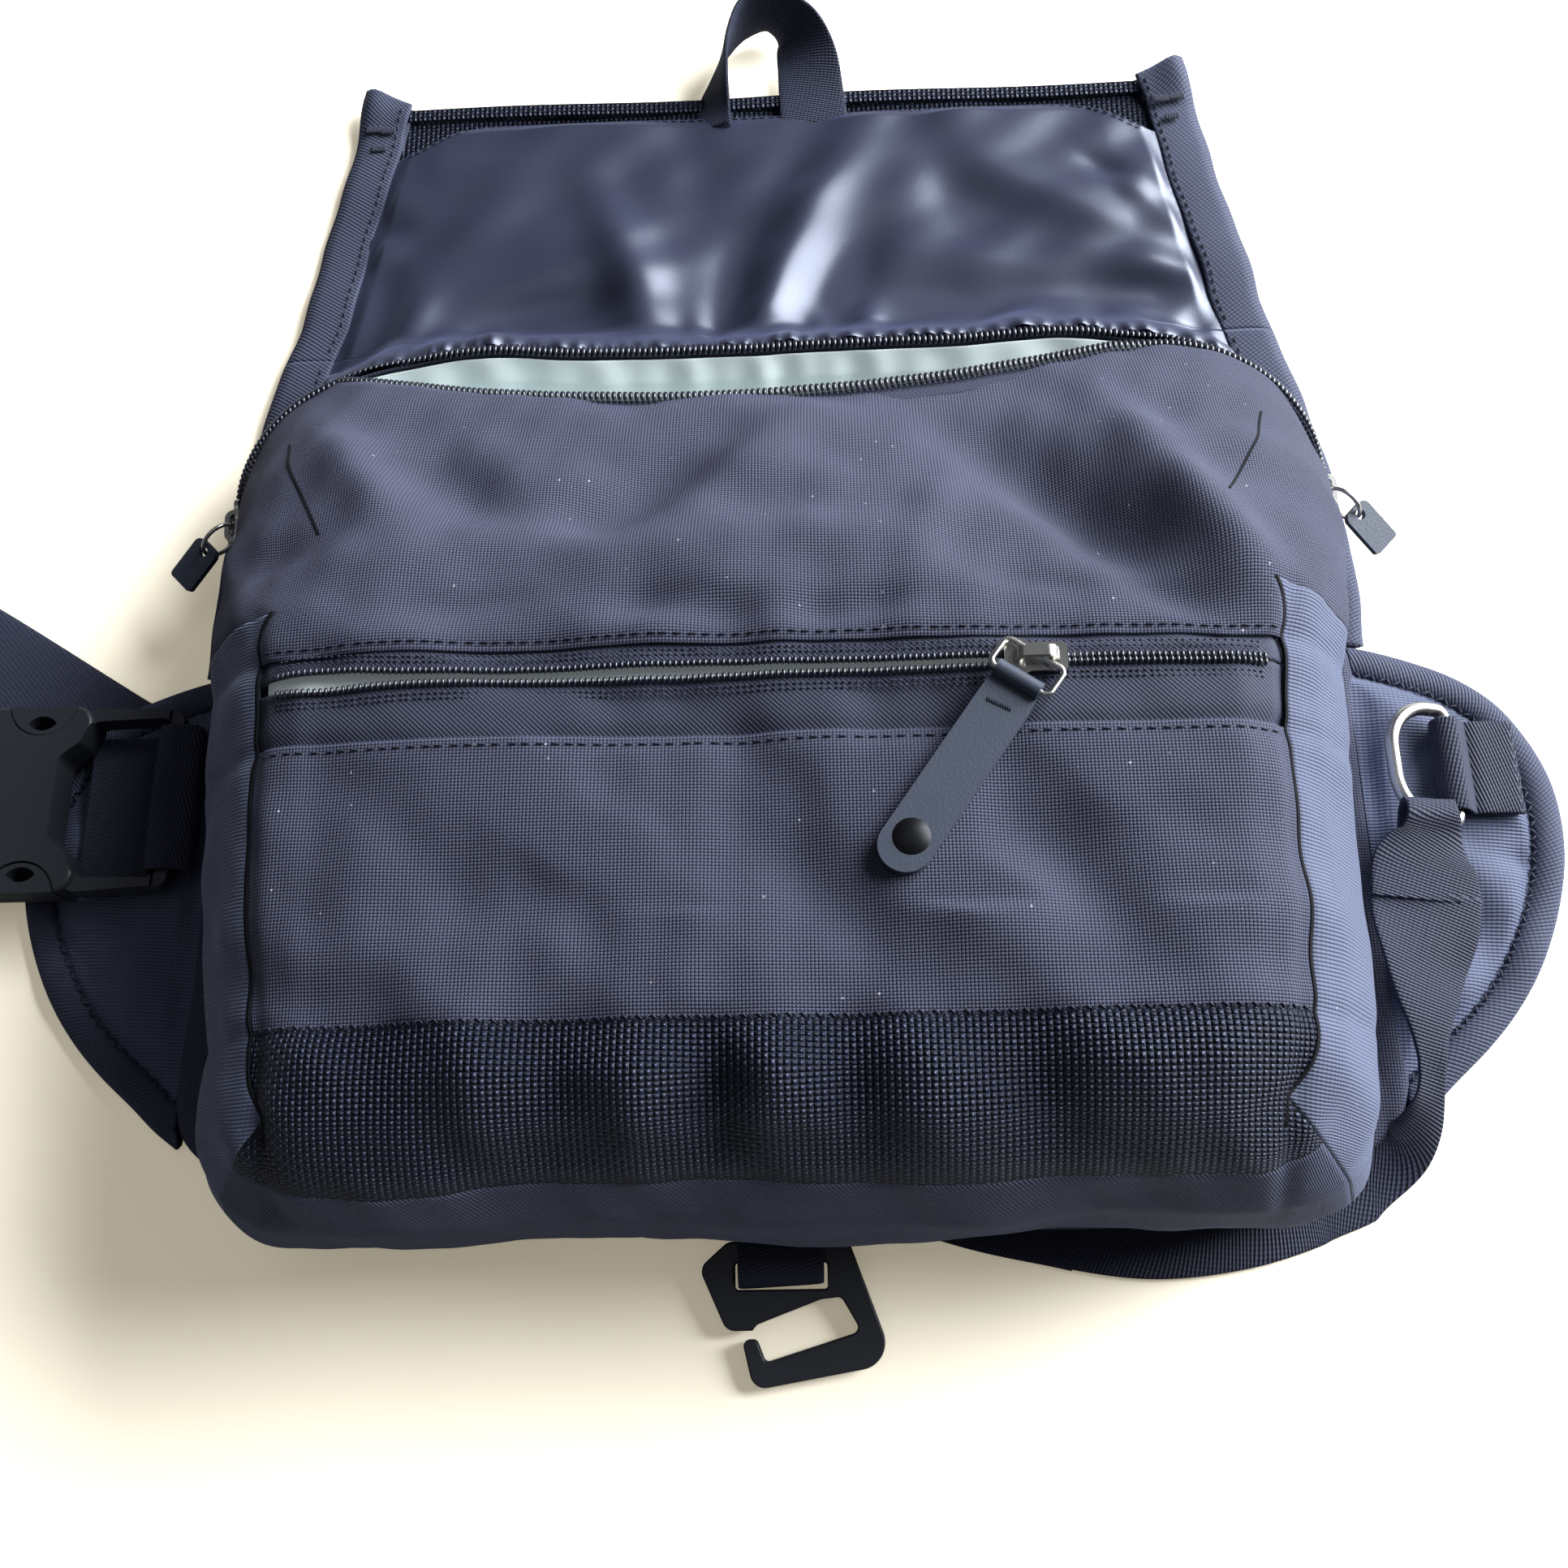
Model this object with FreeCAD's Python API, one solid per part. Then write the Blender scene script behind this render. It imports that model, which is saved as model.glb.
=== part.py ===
import FreeCAD, Part
import math
import os

# A waist pack (hip or lumbar pack for skiing), lying on its back with its flap folded open.
# Millimetres. The origin is on the back panel's rest face: +X to the pack's own right in plan,
# +Y towards the flap, +Z out of the front.

V = FreeCAD.Vector
UP = V(0, 0, 1)

# ---------------------------------------------------------------- clearances and cloth
RUN_GAP = 0.3            # between pieces that move past each other
SHEET = 1.2              # one ply of pack cloth with its coating
LINER = 0.8              # lining cloth
TAPE = 0.6               # zip tape
WEBBING = 1.4            # nylon webbing

# ---------------------------------------------------------------- back panel and wings
PANEL_T = 7.0            # foam back panel
PANEL_BOTTOM = -111.0
PANEL_TOP = 116.5
PANEL_WAIST = 146.0      # half width where the wings are sewn on
WING_TOP = 32.5
WING_BOTTOM = -88.5
WING_REACH = 193.0       # half of the span over both wings
WING_T = 7.0
WING_EDGE_T = 4.4
WING_BORDER = 8.0
HINGE_X = PANEL_WAIST + 0.6
WING_LIFT = 15.0         # degrees that a wing lifts towards the front
BIND_T = 3.4             # folded binding tape over a cloth edge
BIND_W = 14.0
BIND_FOOT = 151.5        # half width over the bindings where they start

# ---------------------------------------------------------------- pouch
WALL = 1.8
POUCH_LEVELS = (         # height, top y, bottom y, half width at top, half width at bottom, radii
    (PANEL_T, 116.5, -111.0, 141.0, 126.0, 38.0, 20.0),
    (20.0, 116.5, -113.0, 142.0, 127.0, 38.0, 22.0),
    (31.0, 97.5, -114.0, 141.0, 127.0, 34.0, 23.0),
    (46.0, 72.0, -112.0, 136.0, 124.0, 28.0, 24.0),
    (60.0, 43.0, -104.0, 124.0, 115.0, 22.0, 22.0),
    (68.0, 25.0, -94.0, 113.0, 106.0, 16.0, 18.0),
    (71.5, 12.0, -84.0, 103.0, 97.0, 12.0, 14.0),
)
POUCH_TOP = POUCH_LEVELS[-1][0]
SEAM_TOP = (116.0, 22.0)         # side seam between front panels and gussets
SEAM_BOTTOM = (103.5, -103.0)
BASE_SEAM_Y = -74.0
GUSSET_SEAM_Z = 46.0             # lower edge of the base panel
LINING_DROP = 6.0                # room for the pocket bag under the front
MOUTH_HALF = 113.0               # half of the open length of the main zip
MOUTH_BACK = 114.2
MOUTH_FRONT_MID = 97.0
MOUTH_RIM = 3.9                     # from the wall to the front edge of the mouth at its ends

# ---------------------------------------------------------------- zips
COIL_W = 1.8
COIL_T = 2.0
CHANNEL = 1.7            # between the two open rows of coil
FRONT_ZIP_Y = 2.5
FRONT_ZIP_Z = 69.9
FRONT_ZIP_HALF = 108.0
POCKET_TOP = 9.0
POCKET_BOTTOM = -12.0
SIDE_ZIP_Z = 20.0
SIDE_ZIP_Y = 61.0        # middle of the straight side run
SIDE_ZIP_HALF = 17.5
SIDE_SLIDER_Y = 69.0
SIDE_TAPE = 6.5
SLIDER_LEN = 13.5
SLIDER_HALF_W = 4.5
PLATE_T = 1.1
POST_T = 1.1
BRIDGE_W = 2.4
BRIDGE_T = 1.2
BRIDGE_HOLE = 2.5
FRONT_SLIDER_X = 58.0
BAIL_WIRE = 1.4
BAIL_W = 14.6
BAIL_L = 7.5
BAIL_ROUND = 1.6
BAIL_TURN = -35.0        # degrees that the bail is turned in plan
BAIL_RISE = 6.0          # degrees that the bail lies above the panel
PULL_L = 49.5
PULL_W = 11.7
PULL_T = 2.0
RIVET_R = 4.0
RIVET_INSET = 8.0         # rivet's middle from the end of the pull
RING_R = 5.0
RING_WIRE = 1.1
TAB_L = 13.0
TAB_W = 8.0
TAB_T = 1.6
RING_SWING = 40.0        # degrees that the side rings hang back from straight out
TAB_DROOP = 22.0

# ---------------------------------------------------------------- flap
FLAP_ROOT = 118.7
FLAP_FOLD = 141.0
FLAP_TIP = 217.0
FLAP_ROOT_HALF = 141.5
FLAP_TIP_HALF = 122.5
HEM = 7.0
EAR = 4.5                # binding ends that stand past the hem
LOOP_W = 21.0            # half width of the pull loop at the hem
LOOP_L = 29.0
LOOP_H = 12.0

# ---------------------------------------------------------------- hardware on the webbing
HOOK_T = 3.6
HOOK_AXIS_Y = -114.9     # middle of the hook's top bar
HOOK_AXIS_Z = 4.8
HOOK_TILT = 5.7          # degrees, so that the hook's far edge rests on the table
HOOK_BAR_TOP = -112.5
HOOK_W = 44.2
HOOK_BAR_LOW = HOOK_BAR_TOP - 4.8 * HOOK_W / 44.2
HOOK_SLOT_LOW = HOOK_BAR_LOW - 5.9 * HOOK_W / 44.2
HOOK_WEB_X = -1.0
HOOK_WEB = 20.0
STRAP_W = 38.0
STRAP_T = 1.5
STRAP_GAP = 0.3
HINGE_RELIEF = 0.9       # strap cut back at the wing hinge so that the wing can fold
STRAP_FOLD = (-272.0, 71.0)
RING_BAR_X = 165.0
RING_BAR_Y = -3.0
RING_BAR_Z = 10.4
D_WIRE = 3.4
D_INNER = 26.0
D_DEPTH = 16.3
D_ROUND = 11.5            # bend of the ring's free corners
D_TILT = 20.0
RING_LOOP = 8.0           # belt webbing sewn round the ring, along the wire
RING_LOOP_TAIL = 3.5      # from the wire to where that loop is sewn to the strap
D_WEB = 24.0
BUCKLE_X = -182.0
BUCKLE_Y = -4.0
BUCKLE_Z0 = 8.8
BUCKLE_T = 9.6
BUCKLE_W = 49.0
BUCKLE_HALF_L = 31.0
MOUTH_H = 5.6            # height of the buckle's cavity
MOUTH_W = 40.0
PAD_X = 4.0              # middle of the release pads, from the buckle's middle
PAD_R = 9.0
LADDER_L = 26.0


# ---------------------------------------------------------------- drawing helpers
def rounded(corners, z=0.0):
    """Closed wire through (x, y, radius) corners, with a tangent arc at each."""
    count = len(corners)
    ends = []
    for i in range(count):
        x, y, r = corners[i]
        here = V(x, y, z)
        if r == 0:
            ends.append((here, here, here, 0))
            continue
        before = V(corners[i - 1][0], corners[i - 1][1], z)
        after = V(corners[(i + 1) % count][0], corners[(i + 1) % count][1], z)
        a = before.sub(here).normalize()
        b = after.sub(here).normalize()
        half = math.acos(max(-1.0, min(1.0, a.dot(b)))) / 2
        cut = r / math.tan(half)
        bisector = a.add(b).normalize()
        middle = here.add(bisector.multiply(r / math.sin(half) - r))
        ends.append((here.add(V(a).multiply(cut)), middle, here.add(V(b).multiply(cut)), r))
    edges = []
    for i in range(count):
        start, middle, end, r = ends[i]
        if r > 0:
            edges.append(Part.Arc(start, middle, end).toShape())
        following = ends[(i + 1) % count][0]
        if end.distanceToPoint(following) > 1e-6:
            edges.append(Part.LineSegment(end, following).toShape())
    return Part.Wire(edges)


def slab(wire, z0, z1):
    """Solid between two heights over a flat wire drawn at any height."""
    flat = wire.copy()
    flat.translate(V(0, 0, z0 - wire.BoundBox.ZMin))
    return Part.Face(flat).extrude(V(0, 0, z1 - z0))


def plate(corners, z0, z1):
    return slab(rounded(corners), z0, z1)


def sharp(points, z0, z1):
    return plate([(x, y, 0) for x, y in points], z0, z1)


def box(x0, x1, y0, y1, z0, z1):
    return Part.makeBox(x1 - x0, y1 - y0, z1 - z0, V(x0, y0, z0))


def profile(points, x0, x1):
    """Solid between two x values over a polygon of (y, z) points."""
    wire = Part.makePolygon([V(x0, y, z) for y, z in points + points[:1]])
    return Part.Face(wire).extrude(V(x1 - x0, 0, 0))


def mirrored(shape):
    return shape.mirror(V(0, 0, 0), V(1, 0, 0))


def both_sides(points):
    """Corner list closed by its own mirror image in x."""
    return points + [(-p[0],) + tuple(p[1:]) for p in reversed(points)]


def placed(shape, origin, along, out):
    """Moves a shape drawn with x along and z out to a frame with those directions."""
    along = V(along).normalize()
    out = V(out).normalize()
    across = out.cross(along)
    m = FreeCAD.Matrix(along.x, across.x, out.x, origin.x, along.y, across.y, out.y, origin.y,
                       along.z, across.z, out.z, origin.z, 0, 0, 0, 1)
    moved = shape.copy()
    moved.Placement = FreeCAD.Placement(m).multiply(moved.Placement)
    return moved


def turned(shape, centre, axis, degrees):
    moved = shape.copy()
    moved.rotate(centre, axis, degrees)
    return moved


def ribbon(path, width):
    """Outline points of a strip of that width along a path of (x, y) points."""
    left = []
    right = []
    for i, (x, y) in enumerate(path):
        x0, y0 = path[max(i - 1, 0)]
        x1, y1 = path[min(i + 1, len(path) - 1)]
        length = math.hypot(x1 - x0, y1 - y0)
        nx = -(y1 - y0) / length * width / 2
        ny = (x1 - x0) / length * width / 2
        left.append((x + nx, y + ny))
        right.append((x - nx, y - ny))
    return left + right[::-1]


def export(name, shape):
    """Writes one node. A boolean result is written as its solids."""
    solids = [s for s in shape.Solids if s.Volume > 0.05]
    kept = solids[0] if len(solids) == 1 else Part.makeCompound(solids)
    kept.exportStep(os.path.join("parts", name + ".step"))


# ---------------------------------------------------------------- pouch
def pouch(inset, drop):
    """The pouch's outer form, made smaller all round by inset, its crown lowered by drop."""
    wires = []
    base = POUCH_LEVELS[0][0]
    for z, top, bottom, half_top, half_bottom, r_top, r_bottom in POUCH_LEVELS:
        share = (z - base) / (POUCH_TOP - base)
        corners = [(half_bottom - inset, bottom + inset, r_bottom - inset),
                   (half_top - inset, top - inset, r_top - inset),
                   (-half_top + inset, top - inset, r_top - inset),
                   (-half_bottom + inset, bottom + inset, r_bottom - inset)]
        wires.append(rounded(corners, z - (inset + drop) * share))
    return Part.makeLoft(wires, True, True)


def side_half(y, z_level):
    """Half width of the pouch's straight side at y, for one of the levels."""
    z, top, bottom, half_top, half_bottom, _, _ = POUCH_LEVELS[z_level]
    return half_bottom + (half_top - half_bottom) * (y - bottom) / (top - bottom)


def mouth_front_end():
    """Height of the front edge at the ends of the mouth, measured in from the rounded corner of the wall."""
    _, top, _, half, _, radius, _ = POUCH_LEVELS[1]
    over = MOUTH_HALF - (half - radius)
    return top - radius + math.sqrt(radius ** 2 - over ** 2) - MOUTH_RIM


def mouth_tool(grow, low):
    """Upright prism over the open part of the main zip, widened by grow towards the front."""
    end = mouth_front_end() - grow
    front = Part.Arc(V(MOUTH_HALF, end, 0), V(0, MOUTH_FRONT_MID - grow, 0), V(-MOUTH_HALF, end, 0)).toShape()
    sides = Part.makePolygon([V(-MOUTH_HALF, end, 0), V(-MOUTH_HALF, MOUTH_BACK, 0),
                              V(MOUTH_HALF, MOUTH_BACK, 0), V(MOUTH_HALF, end, 0)])
    wire = Part.Wire([front] + sides.Edges)
    return slab(wire, low, POUCH_TOP)


def gusset_tool(side):
    """Everything outside the side seam, below the seam's top end."""
    top = SEAM_TOP
    low = SEAM_BOTTOM
    far = PANEL_WAIST + 20
    points = [top, (far, top[1]), (far, low[1] - 40), (low[0] - 2.0, low[1] - 40), low]
    return sharp([(side * x, y) for x, y in points][::side], 0, POUCH_TOP + 5)


def side_zip_frame(side):
    """Origin, along and outward directions of the straight zip run on one side."""
    x = side_half(SIDE_ZIP_Y, 1)
    ahead = side_half(SIDE_ZIP_Y + 10, 1)
    along = V(side * (ahead - x), 10, 0).normalize()
    out = V(side * along.y, -side * along.x, 0)
    return V(side * x, SIDE_ZIP_Y, SIDE_ZIP_Z), along, out


def side_strip(side, v0, v1, w0, w1, extra=0.0):
    """Flat strip on a side zip run: v is up the side, w is outward."""
    origin, along, out = side_zip_frame(side)
    low, high = (v0, v1) if side > 0 else (-v1, -v0)
    strip = box(-SIDE_ZIP_HALF - extra, SIDE_ZIP_HALF + extra, low, high, w0, w1)
    return placed(strip, origin, along, out)


def make_pouch():
    """Splits the hollow pouch into its sewn panels and its zip borders."""
    shell = pouch(0.0, 0.0).cut(pouch(WALL, 0.0))
    over = POUCH_TOP + 5
    wide = PANEL_WAIST + 20
    row_low = SIDE_ZIP_Z - CHANNEL / 2 - COIL_W
    row_gap = SIDE_ZIP_Z - CHANNEL / 2
    mouth = mouth_tool(0.0, row_low)
    mouth_end = mouth_front_end()
    behind = box(-MOUTH_HALF, MOUTH_HALF, mouth_end, wide, row_gap, over)
    slots = side_strip(1, -SIDE_TAPE, SIDE_TAPE, -9, 9).fuse(side_strip(-1, -SIDE_TAPE, SIDE_TAPE, -9, 9))
    bend = SIDE_ZIP_Y + SIDE_ZIP_HALF * 0.998
    corner = box(MOUTH_HALF, wide, bend, wide, row_low - SIDE_TAPE + COIL_W, SIDE_ZIP_Z + SIDE_TAPE)
    corners = corner.fuse(mirrored(corner))
    pocket = box(-FRONT_ZIP_HALF - 3, FRONT_ZIP_HALF + 3, POCKET_BOTTOM, POCKET_TOP, GUSSET_SEAM_Z + 10, over)
    shell = shell.cut(mouth).cut(behind).cut(slots).cut(pocket)
    bends = shell.common(corners)
    shell = shell.cut(corners)
    inside = box(-MOUTH_HALF, MOUTH_HALF, BASE_SEAM_Y, wide, row_gap, over)
    edge = shell.common(mouth_tool(COIL_W, row_gap)).common(inside)
    border = shell.common(mouth_tool(COIL_W + SIDE_TAPE, row_gap)).common(inside).cut(edge)
    back_row = shell.common(box(-MOUTH_HALF, MOUTH_HALF, mouth_end, wide, row_low, row_gap))
    back_band = shell.common(box(-MOUTH_HALF, MOUTH_HALF, mouth_end, wide, row_low - SIDE_TAPE, row_low))
    body = shell.cut(edge).cut(border).cut(back_row).cut(back_band)
    rows = {"front": [edge], "back": [back_row]}
    tapes = {"front": [border], "back": [back_band]}
    tape_w = -0.4 - COIL_T / 2
    low = CHANNEL / 2 + COIL_W
    for name, sign in (("front", 1), ("back", -1)):
        r0, r1 = sorted((SIDE_ZIP_Z + sign * CHANNEL / 2, SIDE_ZIP_Z + sign * low))
        t0, t1 = sorted((SIDE_ZIP_Z + sign * low, SIDE_ZIP_Z + sign * SIDE_TAPE * 2))
        rows[name].append(bends.common(box(-wide, wide, 0, wide, r0, r1)))
        tapes[name].append(bends.common(box(-wide, wide, 0, wide, t0, t1)))
        for side in (1, -1):
            v0, v1 = sorted((sign * CHANNEL / 2, sign * low))
            u0, u1 = sorted((sign * low, sign * SIDE_TAPE))
            rows[name].append(side_strip(side, v0, v1, -COIL_T - 0.4, -0.4))
            tapes[name].append(side_strip(side, u0, u1, tape_w - TAPE / 2, tape_w + TAPE / 2))
    pieces = {}
    for name in ("front", "back"):
        pieces["main_zip_coil_" + name] = rows[name][0].multiFuse(rows[name][1:])
        pieces["main_zip_tape_" + name] = tapes[name][0].multiFuse(tapes[name][1:])
    right = gusset_tool(1)
    left = gusset_tool(-1)
    pieces["side_gusset_right"] = body.common(right)
    pieces["side_gusset_left"] = body.common(left)
    middle = body.cut(right).cut(left)
    pieces["front_panel_upper"] = middle.common(box(-wide, wide, POCKET_TOP, wide, 0, over))
    pieces["front_panel_lower"] = middle.common(box(-wide, wide, BASE_SEAM_Y, POCKET_TOP, 0, over))
    base = middle.common(box(-wide, wide, -wide, BASE_SEAM_Y, 0, over))
    pieces["base_panel"] = base.common(box(-wide, wide, -wide, wide, GUSSET_SEAM_Z, over))
    pieces["bottom_gusset"] = base.common(box(-wide, wide, -wide, wide, 0, GUSSET_SEAM_Z))
    bag = pouch(WALL + STRAP_GAP, LINING_DROP).cut(pouch(WALL + STRAP_GAP + LINER, LINING_DROP))
    clear = slots.fuse(mouth_tool(COIL_W, row_low)).fuse(box(-MOUTH_HALF, MOUTH_HALF, mouth_end, wide,
                                                             row_low, over))
    pieces["compartment_lining"] = bag.cut(clear).cut(box(-wide, wide, -wide, wide, 0, PANEL_T + 0.2))
    return pieces


def make_front_zip():
    """The pocket zip: two tapes and two open rows of coil in the pocket's slot."""
    half = FRONT_ZIP_HALF
    row = CHANNEL / 2 + COIL_W
    y = FRONT_ZIP_Y
    z = FRONT_ZIP_Z
    reach = half + 3
    pieces = {}
    pieces["front_zip_tape_upper"] = box(-reach, reach, y + row, POCKET_TOP, z - TAPE / 2, z + TAPE / 2)
    pieces["front_zip_tape_lower"] = box(-reach, reach, POCKET_BOTTOM, y - row, z - TAPE / 2, z + TAPE / 2)
    pieces["front_zip_coil_upper"] = box(-half, half, y + CHANNEL / 2, y + row, z - COIL_T / 2, z + COIL_T / 2)
    pieces["front_zip_coil_lower"] = box(-half, half, y - row, y - CHANNEL / 2, z - COIL_T / 2, z + COIL_T / 2)
    low = z - LINING_DROP + 1.5
    bag = plate([(half - 8, -66, 8), (half - 8, POCKET_TOP, 3), (8 - half, POCKET_TOP, 3), (8 - half, -66, 8)],
                low, low + 2 * LINER)
    lip = box(8 - half, half - 8, POCKET_TOP - 2 * LINER, POCKET_TOP, low, z - TAPE / 2)
    pieces["pocket_lining"] = bag.fuse(lip)
    return pieces


# ---------------------------------------------------------------- sliders
def make_slider():
    """Zip slider drawn with the zip along x and its face up: two plates, a post and a bridge."""
    nose = SLIDER_LEN / 2
    outline = [(-nose, -SLIDER_HALF_W + 1.2, 1.0), (1.0, -SLIDER_HALF_W + 1.2, 2.0), (3.5, -SLIDER_HALF_W, 2.0),
               (nose, -SLIDER_HALF_W, 2.4), (nose, SLIDER_HALF_W, 2.4), (3.5, SLIDER_HALF_W, 2.0),
               (1.0, SLIDER_HALF_W - 1.2, 2.0), (-nose, SLIDER_HALF_W - 1.2, 1.0)]
    base = COIL_T / 2 + RUN_GAP + 0.1
    top = plate(outline, base, base + PLATE_T)
    under = plate(outline, -base - PLATE_T, -base)
    post = plate([(nose - 4.5, -POST_T / 2, 0.3), (nose - 0.8, -POST_T / 2, 0.3), (nose - 0.8, POST_T / 2, 0.3),
                  (nose - 4.5, POST_T / 2, 0.3)], -base - 0.2, base + 0.2)
    body = top.fuse(under).fuse(post)
    face = base + PLATE_T
    arch_len = SLIDER_LEN - 3.3
    height = BRIDGE_HOLE + BRIDGE_T
    outer = rounded([(-arch_len / 2, 0, 0.2), (arch_len / 2, 0, 0.2), (arch_len / 2 - 1.0, height, 2.4),
                     (1.0 - arch_len / 2, height, 2.4)])
    inner = rounded([(1.2 - arch_len / 2, -1, 0.2), (arch_len / 2 - 1.2, -1, 0.2),
                     (arch_len / 2 - 2.0, BRIDGE_HOLE, 1.4), (2.0 - arch_len / 2, BRIDGE_HOLE, 1.4)])
    arch = slab(outer, -BRIDGE_W / 2, BRIDGE_W / 2).cut(slab(inner, -BRIDGE_W, BRIDGE_W))
    arch = turned(arch, V(0, 0, 0), V(1, 0, 0), 90)
    arch.translate(V(0, 0, face - 0.15))
    whole = body.fuse(arch)
    return whole.removeSplitter()


def bridge_axis_height():
    """Height above the zip of the wire that lies in a slider's bridge."""
    return COIL_T / 2 + RUN_GAP + 0.1 + PLATE_T + RUN_GAP + 0.2 + BAIL_WIRE / 2


def wire_loop(width, length, wire, radius):
    """Closed wire bail in the xy plane: one long side on the x axis, the loop towards -y."""
    path = rounded([(width / 2, 0, radius), (-width / 2, 0, radius), (-width / 2, -length, radius),
                    (width / 2, -length, radius)])
    start = path.Edges[0].valueAt(path.Edges[0].FirstParameter)
    tangent = path.Edges[0].tangentAt(path.Edges[0].FirstParameter)
    ring = Part.Wire([Part.makeCircle(wire / 2, start, tangent)])
    pipe = Part.Wire(path.Edges).makePipeShell([ring], True, True, 2)
    return pipe


def make_front_slider():
    """Slider, bail, leather pull and its rivet on the pocket zip."""
    origin = V(FRONT_SLIDER_X, FRONT_ZIP_Y, FRONT_ZIP_Z)
    pieces = {"front_slider": placed(make_slider(), origin, V(-1, 0, 0), UP)}
    hinge = origin.add(V(0, 0, bridge_axis_height()))
    bail = wire_loop(BAIL_W, BAIL_L, BAIL_WIRE, BAIL_ROUND)
    bail = turned(bail, V(0, 0, 0), V(1, 0, 0), -BAIL_RISE)
    along = V(math.cos(math.radians(BAIL_TURN)), math.sin(math.radians(BAIL_TURN)), 0)
    pieces["front_bail"] = placed(bail, hinge, along, UP)
    far = V(0, -BAIL_L * math.cos(math.radians(BAIL_RISE)), BAIL_L * math.sin(math.radians(BAIL_RISE)))
    sleeve = BAIL_WIRE / 2 + RUN_GAP + PULL_T / 2
    neck = BAIL_W - 2 * BAIL_ROUND - 2 * RUN_GAP
    ring = Part.makeCylinder(sleeve, neck, V(-neck / 2, 0, 0), V(1, 0, 0))
    bore = Part.makeCylinder(BAIL_WIRE / 2 + RUN_GAP, neck + 2, V(-neck / 2 - 1, 0, 0), V(1, 0, 0))
    panel_z = POUCH_TOP + RUN_GAP + 0.2 - hinge.z - far.z
    strap = plate([(neck / 2, 0.0, 0), (PULL_W / 2, -5.0, 1.5), (PULL_W / 2, -PULL_L, PULL_W / 2 - 0.05),
                   (-PULL_W / 2, -PULL_L, PULL_W / 2 - 0.05), (-PULL_W / 2, -5.0, 1.5), (-neck / 2, 0.0, 0)],
                  panel_z, panel_z + PULL_T)
    pull = ring.fuse(strap).cut(bore)
    hole = Part.makeCylinder(1.2, 20, V(0, RIVET_INSET - PULL_L, -10))
    pull = pull.cut(hole)
    pull.translate(far)
    pieces["front_pull"] = placed(pull, hinge, along, UP)
    head = Part.makeSphere(RIVET_R * 2.2, V(0, 0, 1.0 - RIVET_R * 2.2))
    head = head.common(Part.makeCylinder(RIVET_R, 5, V(0, 0, 0)))
    shank = Part.makeCylinder(1.2, PULL_T, V(0, 0, -PULL_T))
    rivet = head.fuse(shank)
    rivet.translate(V(0, far.y - PULL_L + RIVET_INSET, far.z + panel_z + PULL_T))
    pieces["front_pull_rivet"] = placed(rivet, hinge, along, UP)
    return pieces


def make_side_sliders():
    """Slider, ring and small pull tab on each end of the main zip."""
    pieces = {}
    for name, side in (("right", 1), ("left", -1)):
        origin, along, out = side_zip_frame(side)
        seat = origin.add(V(out).multiply(-0.4 - COIL_T / 2)).add(V(along).multiply(SIDE_SLIDER_Y - SIDE_ZIP_Y))
        pieces[name + "_slider"] = placed(make_slider(), seat, along, out)
        hinge = seat.add(V(out).multiply(bridge_axis_height()))
        swing = math.radians(RING_SWING)
        radial = V(out).multiply(math.cos(swing)).sub(V(along).multiply(math.sin(swing)))
        ring = Part.makeTorus(RING_R, RING_WIRE / 2, V(RING_R, 0, 0), V(0, 1, 0))
        pieces[name + "_ring"] = placed(ring, hinge, radial, UP)
        tab = plate([(-2.4, -TAB_W / 2, 2.0), (TAB_L - 2.4, -TAB_W / 2, 1.0), (TAB_L - 2.4, TAB_W / 2, 1.0),
                     (-2.4, TAB_W / 2, 2.0)], -TAB_T / 2, TAB_T / 2)
        tab = tab.cut(Part.makeCylinder(RING_WIRE / 2 + 0.8, 10, V(0, 0, -5)))
        tab = turned(tab, V(0, 0, 0), V(0, 1, 0), TAB_DROOP)
        tab.translate(V(2 * RING_R, 0, 0))
        pieces[name + "_pull"] = placed(tab, hinge, radial, UP)
    return pieces


# ---------------------------------------------------------------- back panel and its binding
def side_line(y):
    """Outer edge of the bound back panel and flap at y."""
    if y > FLAP_ROOT:
        t = (y - FLAP_ROOT) / (FLAP_TIP - FLAP_ROOT)
        return FLAP_ROOT_HALF + (FLAP_TIP_HALF - FLAP_ROOT_HALF) * t
    t = (y - WING_TOP) / (FLAP_ROOT - WING_TOP)
    return BIND_FOOT + (FLAP_ROOT_HALF - BIND_FOOT) * t * t


def bind_edge(low, high, inset):
    """Points of the bound side edge from low to high, moved in by inset."""
    steps = 4
    return [(side_line(low + (high - low) * i / steps) - inset, low + (high - low) * i / steps)
            for i in range(steps + 1)]


def bound_side(low, high, inner):
    """Binding folded over a cloth edge on the +x side, and the cloth flange inside it."""
    outer = bind_edge(low, high, 0.0)
    band = sharp(outer + inner[::-1], 0, BIND_T)
    mid = (BIND_T - SHEET) / 2
    flange = sharp(bind_edge(low, high, BIND_T / 3) + inner[::-1], mid, mid + SHEET)
    return band.cut(flange), flange


STRAP_PATH = [(-272, 71), (-222, 41), (-150, -4), (38, -93.5), (85, -103), (104, -101), (128, -94), (133, -91)]


def strap_bed():
    """The print that the belt strap leaves in the foam that lies on it."""
    return sharp(ribbon(STRAP_PATH, STRAP_W + 4 * STRAP_GAP), -1, STRAP_T + STRAP_GAP)


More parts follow.
